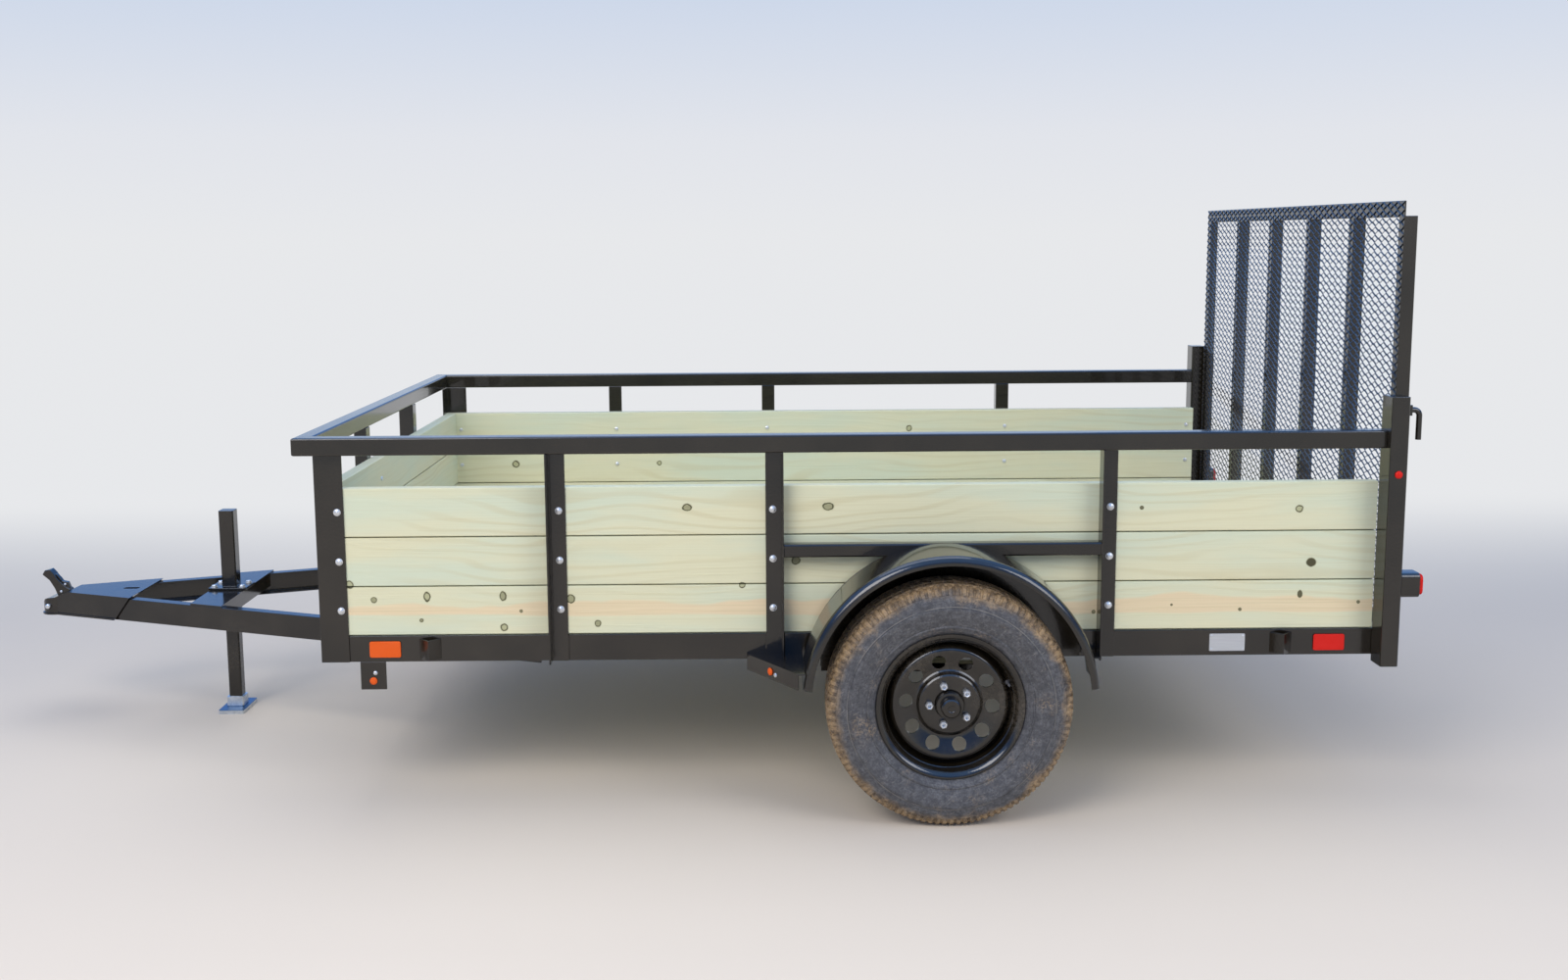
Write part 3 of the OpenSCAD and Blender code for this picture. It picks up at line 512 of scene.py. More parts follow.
    def _scattered(self, g: ShaderGraph, run: Socket, v: Socket, offset: Socket) -> tuple[Socket, Socket]:
        """Scatters small knots by a cell pattern.

        Args:
            g: Graph to add to.
            run: Place along the plank, shifted by plank.
            v: Place across the planks.
            offset: Shift of the plank.

        Returns:
            Masks of the knots' cores and of their halos.
        """
        cells = g.add("ShaderNodeTexVoronoi")
        g.feed(cells.inputs["Vector"], self._drawn(g, run, v, self.cell_scale, offset))
        cells.inputs["Scale"].default_value = 1.0
        chosen = g.between(g.split(cells.outputs["Color"])[0], *self.spot_chosen)
        wander = g.centred(g.noise(g.place, self.wander_scale, detail=2.0), self.spot_wander)
        distance = g.plus(cells.outputs["Distance"], wander)
        rim = g.times(g.between(distance, *self.spot_edge), g.between(distance, *self.spot_hole))
        return g.times(rim, chosen), g.times(g.between(distance, *self.spot_halo), chosen)

    def _placed(self, g: ShaderGraph, u: Socket, v: Socket, w: Socket) -> tuple[Socket, Socket]:
        """Draws the knots that are listed one by one.

        Args:
            g: Graph to add to.
            u: Place along the planks.
            v: Place across the planks.
            w: Place through the planks.

        Returns:
            Masks of the knots' cores and of their halos.
        """
        core: object = 0.0
        halo: object = 0.0
        shown = g.math("GREATER_THAN", g.times(w, self.knot_side), 0.0)
        wander = g.minus(g.noise(g.place, self.wander_scale, detail=2.0), 0.5)
        for knot in self.knots:
            along = g.math("DIVIDE", g.minus(u, knot.along), knot.radius * knot.width)
            across = g.math("DIVIDE", g.minus(v, knot.across), knot.radius)
            square = g.plus(g.plus(g.times(along, along), g.times(across, across)), wander)
            rim = g.times(g.between(square, *self.knot_edge), g.between(square, *self.knot_hole))
            middle = g.times(g.between(square, *self.knot_middle), knot.fill)
            core = g.most(core, g.most(rim, middle))
            halo = g.most(halo, g.between(square, *self.knot_halo))
        return g.times(core, shown), g.times(halo, shown)


@dataclass(frozen=True)
class DustyRubber:
    """Tyre rubber: grey scuffed sidewall with a rubbed line, brown dust on the tread and shoulder."""

    axle_x: float
    axle_z: float
    name: str = "dusty_rubber"
    rubber: Colour = (0.042, 0.042, 0.046)
    scuff: Colour = (0.128, 0.130, 0.139)
    dust: Colour = (0.360, 0.246, 0.130)
    mud: Colour = (0.150, 0.101, 0.056)
    mark: Colour = (0.24, 0.225, 0.20)
    dust_from: float = 0.300
    dust_to: float = 0.332
    dust_wander: float = 0.07
    dust_share: float = 0.92
    rub_line: float = 0.2875
    rub_width: float = 0.0022
    sweep_scale: Span = (22.0, 240.0)
    sweep_share: float = 0.3
    cloud_scale: float = 13.0
    grit_scale: float = 150.0
    grit_share: float = 0.7
    speck_scale: float = 330.0
    smear_scale: float = 42.0
    scratch_scale: Point = (36.0, 36.0, 420.0)
    scratch_turn: float = math.radians(35.0)
    dusted: Span = (0.20, 0.56)
    splash_cloud: Span = (0.52, 0.72)
    splash_grit: Span = (0.44, 0.66)
    splash_share: float = 0.6
    rubbed: Span = (0.34, 0.62)
    smeared: Span = (0.22, 0.72)
    scratched: Span = (0.66, 0.74)
    specked: Span = (0.63, 0.72)
    line_broken: Span = (0.35, 0.55)
    mark_share: float = 0.6
    caked: Span = (0.36, 0.60)
    roughness: float = 0.52
    spread: float = 0.22
    grain_depth: float = 0.0009

    def make(self) -> Material:
        """Builds the material."""
        g = ShaderGraph(self.name)
        x, _, z = g.split(g.place)
        dx = g.minus(x, self.axle_x)
        dz = g.minus(z, self.axle_z)
        radius = g.math("SQRT", g.plus(g.times(dx, dx), g.times(dz, dz)))
        around, outward = self.sweep_scale
        swept = g.join(g.times(dx, around), g.times(radius, outward), g.times(dz, around))
        sweep = g.noise(swept, 1.0, detail=5.0, rough=0.7)
        cloud = g.noise(g.place, self.cloud_scale, detail=6.0, rough=0.65)
        grit = g.noise(g.place, self.grit_scale, detail=5.0, rough=0.75)
        turned = g.add("ShaderNodeVectorRotate", rotation_type="Y_AXIS")
        g.feed(turned.inputs["Vector"], g.place)
        turned.inputs["Angle"].default_value = self.scratch_turn
        scratch = g.noise(g.stretched(self.scratch_scale, turned.outputs[0]), 1.0, detail=2.0, rough=0.6)
        speck = g.noise(g.place, self.speck_scale, detail=2.0, rough=0.6)
        smear = g.noise(g.place, self.smear_scale, detail=6.0, rough=0.68)
        edge = g.plus(radius, g.centred(cloud, self.dust_wander))
        dusty = g.times(g.between(edge, self.dust_from, self.dust_to), g.between(grit, *self.dusted))
        splash = g.times(g.between(cloud, *self.splash_cloud), g.between(grit, *self.splash_grit))
        rubbed = g.plus(g.times(sweep, self.sweep_share), g.times(grit, self.grit_share))
        worn = g.times(g.between(rubbed, *self.rubbed), g.between(smear, *self.smeared))
        wall = g.mix(worn, self.rubber, self.scuff)
        nicked = g.most(g.between(scratch, *self.scratched), g.between(speck, *self.specked))
        line = g.times(g.between(g.off(radius, self.rub_line), self.rub_width, 0.0),
                       g.between(cloud, *self.line_broken))
        wall = g.mix(g.times(g.most(nicked, line), self.mark_share), wall, self.mark)
        wall = g.mix(g.times(splash, self.splash_share), wall, self.dust)
        caked = g.mix(g.between(smear, *self.caked), self.mud, self.dust)
        g.set(Base_Color=g.mix(g.times(dusty, self.dust_share), wall, caked))
        g.set(Roughness=g.scaled(grit, self.spread, self.roughness), Specular_IOR_Level=0.35)
        g.bump(g.plus(grit, sweep), self.grain_depth)
        return g.material


@dataclass(frozen=True)
class PrismLens:
    """Moulded plastic lens over a fine prism grid."""

    name: str
    colour: Colour
    deep: Colour
    pitch: float = 0.0045
    ridged: Span = (-0.6, 0.6)
    ridge_share: float = 0.35
    ridge_depth: float = 0.0004
    cloud_scale: float = 25.0
    cloud_share: float = 0.2
    roughness: float = 0.5
    spread: float = 0.6

    def make(self) -> Material:
        """Builds the material."""
        g = ShaderGraph(self.name)
        x, y, z = g.split(g.place)
        turns = math.tau / self.pitch
        ridge = g.math("SINE", g.times(g.plus(x, y), turns))
        cross = g.math("SINE", g.times(z, turns))
        grid = g.between(g.times(ridge, cross), *self.ridged)
        cloud = g.noise(g.place, self.cloud_scale, detail=3.0)
        tone = g.mix(g.times(grid, self.ridge_share), self.colour, self.deep)
        g.set(Base_Color=g.mix(g.times(cloud, self.cloud_share), tone, self.deep))
        g.set(Roughness=g.scaled(cloud, self.spread, self.roughness))
        g.set(Specular_IOR_Level=0.25, Coat_Weight=0.08)
        g.bump(grid, self.ridge_depth)
        return g.material


@dataclass(frozen=True)
class BrushedPlate:
    """Thin bare aluminium with a fine brushed grain along its length."""

    name: str = "brushed_plate"
    bright: Colour = (0.58, 0.59, 0.60)
    dull: Colour = (0.42, 0.43, 0.44)
    brush_scale: Point = (18.0, 18.0, 900.0)
    brush_depth: float = 0.0001
    metallic: float = 0.6
    roughness: float = 0.3
    spread: float = 0.2

    def make(self) -> Material:
        """Builds the material."""
        g = ShaderGraph(self.name)
        brush = g.noise(g.stretched(self.brush_scale), 1.0, detail=3.0)
        g.set(Base_Color=g.mix(brush, self.bright, self.dull), Metallic=self.metallic)
        g.set(Roughness=g.scaled(brush, self.spread, self.roughness))
        g.bump(brush, self.brush_depth)
        return g.material


class Workshop:
    """Makes meshes with bmesh operators."""

    merge: float = 1e-5
    facet: float = math.radians(0.6)
    crease: float = math.radians(28.0)
    level_weight: int = 90
    drill_sides: int = 28
    bead_sides: int = 7
    bead_rings: int = 4
    bead_pitch: float = 0.9
    bead_root: float = 0.8
    bead_swell: float = 1.3

    @staticmethod
    def lathe(profile: Sequence[Span], steps: int) -> Mesh:
        """Spins a profile round the Z axis.

        Args:
            profile: Radius and height of each point.
            steps: Segments of the full turn.

        Returns:
            A new mesh.
        """
        bm = bmesh.new()
        verts = [bm.verts.new((radius, 0.0, height)) for radius, height in profile]
        edges = [bm.edges.new(pair) for pair in zip(verts, verts[1:])]
        bmesh.ops.spin(bm, geom=verts + edges, cent=(0, 0, 0), axis=(0, 0, 1), dvec=(0, 0, 0),
                       angle=math.tau, steps=steps, use_merge=True)
        bmesh.ops.remove_doubles(bm, verts=bm.verts, dist=Workshop.merge)
        bmesh.ops.recalc_face_normals(bm, faces=bm.faces)
        return bm

    @staticmethod
    def turned(shares: Section, radius: float, height: float, steps: int) -> Mesh:
        """Spins a profile given as shares of a radius and a height."""
        return Workshop.lathe([(out * radius, up * height) for out, up in shares], steps)

    @staticmethod
    def pulled(bm: Mesh, cap: list[Face], step: Point) -> list[Face]:
        """Pulls an end face on by one step, leaving no face inside.

        Args:
            bm: Mesh of the bar.
            cap: The end face.
            step: How far it moves.

        Returns:
            The new end face.
        """
        grown = bmesh.ops.extrude_face_region(bm, geom=cap)["geom"]
        verts = [part for part in grown if isinstance(part, bmesh.types.BMVert)]
        bmesh.ops.translate(bm, vec=step, verts=verts)
        inside = [face for face in cap if any(len(edge.link_faces) > 2 for edge in face.edges)]
        bmesh.ops.delete(bm, geom=inside, context="FACES_ONLY")
        return [part for part in grown if isinstance(part, Face)]

    @staticmethod
    def plate(outline: Sequence[Span], width: float) -> Mesh:
        """Makes a plate from its outline in X and Z, centred on Y = 0.

        Args:
            outline: Corners of the outline.
            width: Width along Y.

        Returns:
            A new mesh.
        """
        bm = bmesh.new()
        cap = [bm.faces.new([bm.verts.new((x, -width / 2, z)) for x, z in outline])]
        Workshop.pulled(bm, cap, (0, width, 0))
        bmesh.ops.recalc_face_normals(bm, faces=bm.faces)
        return bm

    @staticmethod
    def bead(start: Vector, end: Vector, radius: float) -> Mesh:
        """Makes a weld bead with ripples along a straight line.

        Args:
            start: First end.
            end: Other end.
            radius: Radius of the bead.

        Returns:
            A new mesh.
        """
        run = end - start
        rings = max(Workshop.bead_rings, round(run.length / (radius * Workshop.bead_pitch)))
        turn = run.to_track_quat("Z", "Y").to_matrix().to_4x4()
        bm = bmesh.new()
        bmesh.ops.create_circle(bm, cap_ends=True, segments=Workshop.bead_sides,
                                radius=radius * Workshop.bead_root)
        cap = bm.faces[:]
        swell = Workshop.bead_swell
        for i in range(rings):
            cap = Workshop.pulled(bm, cap, (0, 0, run.length / rings))
            size = swell if i % 2 == 0 else 1.0 / swell
            bmesh.ops.scale(bm, vec=(size, size, 1.0), verts=cap[0].verts)
        bmesh.ops.recalc_face_normals(bm, faces=bm.faces)
        bmesh.ops.transform(bm, matrix=Matrix.Translation(start) @ turn, verts=bm.verts)
        return bm

    @staticmethod
    def stamped(template: Mesh, places: Iterable[Matrix]) -> Mesh:
        """Repeats a mesh.

        Args:
            template: Mesh to repeat; it is freed.
            places: Transform of each copy.

        Returns:
            A new mesh with all copies.
        """
        return Workshop.joined((template, place) for place in places)

    @staticmethod
    def joined(parts: Iterable[tuple[Mesh, Matrix]]) -> Mesh:
        """Joins meshes, each moved to its place.

        Args:
            parts: Meshes with their transforms.

        Returns:
            A new mesh.
        """
        bm = bmesh.new()
        scratch = bpy.data.meshes.new("scratch")
        used: list[Mesh] = []
        for part, place in parts:
            first = len(bm.verts)
            part.to_mesh(scratch)
            bm.from_mesh(scratch)
            bm.verts.ensure_lookup_table()
            bmesh.ops.transform(bm, matrix=place, verts=bm.verts[first:])
            if part not in used:
                used.append(part)
        for part in used:
            part.free()
        bpy.data.meshes.remove(scratch)
        return bm

    @staticmethod
    def drilled(bm: Mesh, radius: float, length: float, places: Iterable[Matrix]) -> Mesh:
        """Drills round holes through a closed mesh.

        Args:
            bm: Mesh to drill; it is freed.
            radius: Radius of the holes.
            length: Length of the drill, about each place.
            places: Transform of each drill, along Z.

        Returns:
            A new mesh.
        """
        drill = bmesh.new()
        bmesh.ops.create_cone(drill, cap_ends=True, segments=Workshop.drill_sides, radius1=radius,
                              radius2=radius, depth=length)
        pair = []
        for part in (bm, Workshop.stamped(drill, places)):
            mesh = bpy.data.meshes.new("drilled")
            part.to_mesh(mesh)
            part.free()
            pair.append(bpy.data.objects.new("drilled", mesh))
            bpy.context.scene.collection.objects.link(pair[-1])
        cut = pair[0].modifiers.new("holes", "BOOLEAN")
        cut.operation = "DIFFERENCE"
        cut.object = pair[1]
        bpy.context.view_layer.update()
        whole = bmesh.new()
        whole.from_object(pair[0], bpy.context.evaluated_depsgraph_get())
        for piece in pair:
            mesh = piece.data
            bpy.data.objects.remove(piece)
            bpy.data.meshes.remove(mesh)
        return whole

    @staticmethod
    def facing(place: Sequence[float], direction: Sequence[float]) -> Matrix:
        """Puts a shape drawn along Z at a place, turned to a direction."""
        turn = Vector(direction).to_track_quat("Z", "Y").to_matrix().to_4x4()
        return Matrix.Translation(Vector(place)) @ turn

    @staticmethod
    def cad_copy(node: str) -> Mesh:
        """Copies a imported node's mesh, merged and with its flat faces whole."""
        bm = bmesh.new()
        bm.from_mesh(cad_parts[node].data)
        bmesh.ops.remove_doubles(bm, verts=bm.verts, dist=Workshop.merge)
        bmesh.ops.dissolve_limit(bm, angle_limit=Workshop.facet, verts=bm.verts, edges=bm.edges)
        return bm


def add_piece(name: str, bm: Mesh, finish: Material, body: Body,
              ease: float = 0.0, segments: int = 2) -> bpy.types.Object:
    """Turns a mesh into a smooth-shaded piece that rides on a body.

    Args:
        name: Name of the piece.
        bm: Its mesh in the trailer's frame; it is freed.
        finish: Its material.
        body: Body it rides on.
        ease: Radius of its sharp edges, or 0 to leave them.
        segments: Segments of each eased edge.

    Returns:
        The new object.
    """
    for face in bm.faces:
        face.smooth = True
    for edge in bm.edges:
        sharp = len(edge.link_faces) == 2 and edge.calc_face_angle(0.0) > Workshop.crease
        edge.smooth = not sharp or ease > 0.0
    mesh = bpy.data.meshes.new(name)
    bm.to_mesh(mesh)
    bm.free()
    mesh.materials.append(finish)
    piece = bpy.data.objects.new(name, mesh)
    bpy.context.scene.collection.objects.link(piece)
    if ease > 0.0:
        bevel = piece.modifiers.new("eased_edges", "BEVEL")
        bevel.width = ease
        bevel.segments = segments
        bevel.limit_method = "ANGLE"
        bevel.angle_limit = Workshop.crease
        level = piece.modifiers.new("level_faces", "WEIGHTED_NORMAL")
        level.weight = Workshop.level_weight
        level.keep_sharp = True
    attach(piece, body.value)
    LOG.info("%s on %s", name, body.value)
    return piece


def coat_node(node: str, finish: Material) -> None:
    """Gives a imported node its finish.

    Args:
        node: Name of the node.
        finish: Material for all its slots.
    """
    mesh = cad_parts[node].data
    mesh.materials.clear()
    mesh.materials.append(finish)
    LOG.info("%s takes %s", node, finish.name)


@dataclass
class SteelWork:
    """Painted steel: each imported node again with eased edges."""

    finish: Material
    sheet_ease: float = 0.0006
    bar_ease: float = 0.0014
    cast_ease: float = 0.003
    bars: tuple[str, ...] = (
        "rail_left", "rail_right", "end_members", "joists", "tongue_rails", "corner_posts",
        "uprights_left", "uprights_right", "front_uprights", "rear_posts", "stake_pockets",
        "jack_bridge", "spring_hangers", "axle_clamps", "hinge_lugs", "marker_brackets",
        "top_rail_left", "top_rail_right", "top_rail_front", "fender_bars", "jack_tube", "axle",
        "leaf_springs", "lamp_housings", "gate_latches")
    sheets: tuple[str, ...] = ("fender_left", "fender_right", "fender_brackets", "fender_backs")
    castings: tuple[str, ...] = ("coupler",)
    gate: tuple[str, ...] = ("gate_frame", "gate_barrels")

    def build(self) -> None:
        """Builds all steel pieces."""
        for nodes, ease, body in ((self.bars, self.bar_ease, Body.CHASSIS),
                                  (self.sheets, self.sheet_ease, Body.CHASSIS),
                                  (self.castings, self.cast_ease, Body.CHASSIS),
                                  (self.gate, self.bar_ease, Body.GATE)):
            for node in nodes:
                bm = Workshop.cad_copy(node)
                piece = add_piece(node + "_steel", bm, self.finish, body, ease)
                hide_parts(node)


@dataclass
class RampMesh:
    """Expanded metal of the ramp gate, strand by strand."""

    finish: Material
    cell_w: float = 0.0508
    cell_h: float = 0.0234
    strand: float = 0.0031
    lean: float = 0.0007

    def build(self) -> None:
        """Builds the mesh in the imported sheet's place."""
        low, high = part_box("gate_mesh")
        columns = round((high.y - low.y) / self.cell_w)
        rows = round((high.z - low.z) / self.cell_h)
        step_y = (high.y - low.y) / (2 * columns)
        step_z = (high.z - low.z) / (2 * rows)
        centre_x = (low.x + high.x) / 2
        half_t = (high.x - low.x) / 2 - self.lean
        strand = self._strand(2 * columns, step_y, step_z, half_t)
        flip = Matrix.Scale(-1.0, 4, (0, 0, 1)) @ Matrix.Scale(-1.0, 4, (1, 0, 0))
        places = []
        for row in range(rows):
            up = Matrix.Translation((centre_x, low.y, low.z + 2 * row * step_z))
            down = Matrix.Translation((centre_x, low.y, low.z + 2 * (row + 1) * step_z))
            places += [up, down @ flip]
        bm = Workshop.stamped(strand, places)
        piece = add_piece("ramp_mesh", bm, self.finish, Body.GATE)
        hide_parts("gate_mesh")

    def _strand(self, steps: int, step_y: float, step_z: float, half_t: float) -> Mesh:
        """Makes one zigzag strand from y = 0, its low corners at z = 0.

        Args:
            steps: Number of straight runs.
            step_y: Length of a run along Y.
            step_z: Rise of a run.
            half_t: Half of the sheet's thickness.

        Returns:
            A new mesh.
        """
        bm = bmesh.new()
        corners = ((-half_t - self.lean, 0.0), (half_t - self.lean, 0.0),
                   (half_t + self.lean, self.strand), (-half_t + self.lean, self.strand))
        cap = [bm.faces.new([bm.verts.new((x, 0.0, z)) for x, z in corners])]
        for i in range(steps):
            cap = Workshop.pulled(bm, cap, (0, step_y, step_z if i % 2 == 0 else -step_z))
        bmesh.ops.recalc_face_normals(bm, faces=bm.faces)
        return bm


@dataclass(frozen=True)
class WallFrame:
    """Uprights of a side wall: where each begins as a share of the rail, and their steel."""

    uprights: tuple[float, ...] = (0.2146, 0.4177, 0.729)
    upright_w: float = 0.051
    angle_t: float = 0.005

    def measure(self, side: Side) -> tuple[float, list[float]]:
        """Measures one side wall.

        Args:
            side: Side of the trailer.

        Returns:
            Y of the rail's outer face, and X of each upright's front edge.
        """
        low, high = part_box("rail_" + side.word)
        face = max(abs(low.y), abs(high.y)) * side.value
        return face, [low.x + share * (high.x - low.x) for share in self.uprights]


@dataclass
class Walls:
    """Planks with their bolts, on both sides, at the front and on the floor."""

    zinc: Material
    steel: WallFrame = WallFrame()
    pitch: float = 0.143
    start: float = 0.5057
    floor_pitch: float = 0.1497
    floor_start: float = -0.973
    planks: int = 3
    plank_t: float = 0.038
    head_r: float = 0.0105
    head_h: float = 0.0065
    head_steps: int = 14
    head_shares: Section = (
        (0.0, 1.0), (0.45, 0.92), (0.78, 0.62), (0.86, 0.30), (1.0, 0.26), (1.0, 0.0), (0.0, 0.0))
    nut_r: float = 0.0085
    nut_shares: Section = ((0.0, 0.7), (0.5, 0.7), (0.9, 0.5), (1.0, 0.0), (0.0, 0.0))
    bolt_up: float = 0.52
    bolt_shares: tuple[float, ...] = (0.62, 0.40, 0.62)
    corner_reach: float = 0.058
    rear_reach: float = 0.028
    near_knots: tuple[Knot, ...] = (
        Knot(1.846, 0.855, 0.011), Knot(1.886, 0.699, 0.0125, 1.0, 1.15), Knot(1.857, 0.607, 0.012, 0.9, 0.6),
        Knot(1.396, 0.861, 0.006, 0.8), Knot(1.489, 0.578, 0.0035, 0.7), Knot(1.686, 0.563, 0.005, 0.7),
        Knot(2.026, 0.582, 0.005, 0.7), Knot(1.265, 0.559, 0.0055, 0.5), Knot(0.503, 0.872, 0.012, 0.3, 1.35),
        Knot(0.102, 0.872, 0.011, 0.3, 1.3), Knot(0.411, 0.716, 0.012, 0.5, 1.1), Knot(0.257, 0.645, 0.009),
        Knot(-0.866, 0.655, 0.012), Knot(-0.797, 0.610, 0.009, 0.3), Knot(-0.645, 0.618, 0.015, 0.0, 0.68),
        Knot(-0.428, 0.619, 0.015, 0.3, 0.68), Knot(-0.663, 0.549, 0.006, 0.5), Knot(-0.427, 0.527, 0.011),
        Knot(-0.235, 0.609, 0.013, 0.3), Knot(-0.158, 0.536, 0.010, 0.3), Knot(-0.377, 0.574, 0.005, 0.5))
    far_knots: tuple[Knot, ...] = (
        Knot(-0.673, 0.725, 0.015), Knot(-0.092, 0.725, 0.010), Knot(0.92, 0.86, 0.012))

    def build(self) -> None:
        """Coats the planks and builds the bolts."""
        wall = {"across": 2, "start": self.start, "pitch": self.pitch}
        heart = {"heart_at": 0.576, "heart_half": 0.0235, "heart_grow": 0.0035}
        finishes = {
            "planks_left": Pine("pine_left", along=0, seed=0.3, knots=self.near_knots, knot_side=-1.0,
                                **wall, **heart),
            "planks_right": Pine("pine_right", along=0, seed=5.9, knots=self.far_knots, knot_side=1.0,
                                 **wall),
            "planks_front": Pine("pine_front", along=1, seed=11.2, **wall),
            "floor_planks": Pine("pine_floor", along=0, seed=17.4, across=1, start=self.floor_start,
                                 pitch=self.floor_pitch),
        }
        for node, finish in finishes.items():
            coat_node(node, finish.make())
        for side in Side:
            self._side_bolts(side)
        self._front_bolts()

    def _heights(self) -> list[float]:
        """Height of the bolt in each plank."""
        return [self.start + (i + self.bolt_up) * self.pitch for i in range(self.planks)]

    def _side_bolts(self, side: Side) -> None:
        """Builds the bolts of one side wall; the rear ones show their nuts only.

        Args:
            side: Side of the trailer.
        """
        wall, uprights = self.steel.measure(side)
        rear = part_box("planks_" + side.word)[1].x - self.rear_reach
        columns = [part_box("rail_" + side.word)[0].x + self.corner_reach]
        columns += [x + bolt * self.steel.upright_w for x, bolt in zip(uprights, self.bolt_shares)]
        outer = wall + self.steel.angle_t * side.value
        inner = wall - self.plank_t * side.value
        heads = [Workshop.facing((x, outer, z), side.out) for x in columns for z in self._heights()]
        nuts = [Workshop.facing((x, inner, z), (0, -side.value, 0))
                for x in columns + [rear] for z in self._heights()]
        self._bolts("wall_bolts_" + side.word, heads, nuts)

    def _front_bolts(self) -> None:
        """Builds the bolts of the front wall."""
        low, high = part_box("front_uprights")
        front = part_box("planks_front")[0].x
        outer = front - self.steel.angle_t
        inner = front + self.plank_t
        columns = [low.y + self.steel.upright_w / 2, high.y - self.steel.upright_w / 2]
        heads = [Workshop.facing((outer, y, z), (-1, 0, 0)) for y in columns for z in self._heights()]
        nuts = [Workshop.facing((inner, y, z), (1, 0, 0)) for y in columns for z in self._heights()]
        self._bolts("wall_bolts_front", heads, nuts)

    def _bolts(self, name: str, heads: list[Matrix], nuts: list[Matrix]) -> None:
        """Builds the domed heads and low nuts of one wall.

        Args:
            name: Name of the piece.
            heads: Place of each head.
            nuts: Place of each nut.
        """
        head = Workshop.turned(self.head_shares, self.head_r, self.head_h, self.head_steps)
        nut = Workshop.turned(self.nut_shares, self.nut_r, self.head_h, HEX_SIDES)
        bm = Workshop.joined([(head, place) for place in heads] + [(nut, place) for place in nuts])
        add_piece(name, bm, self.zinc, Body.CHASSIS)


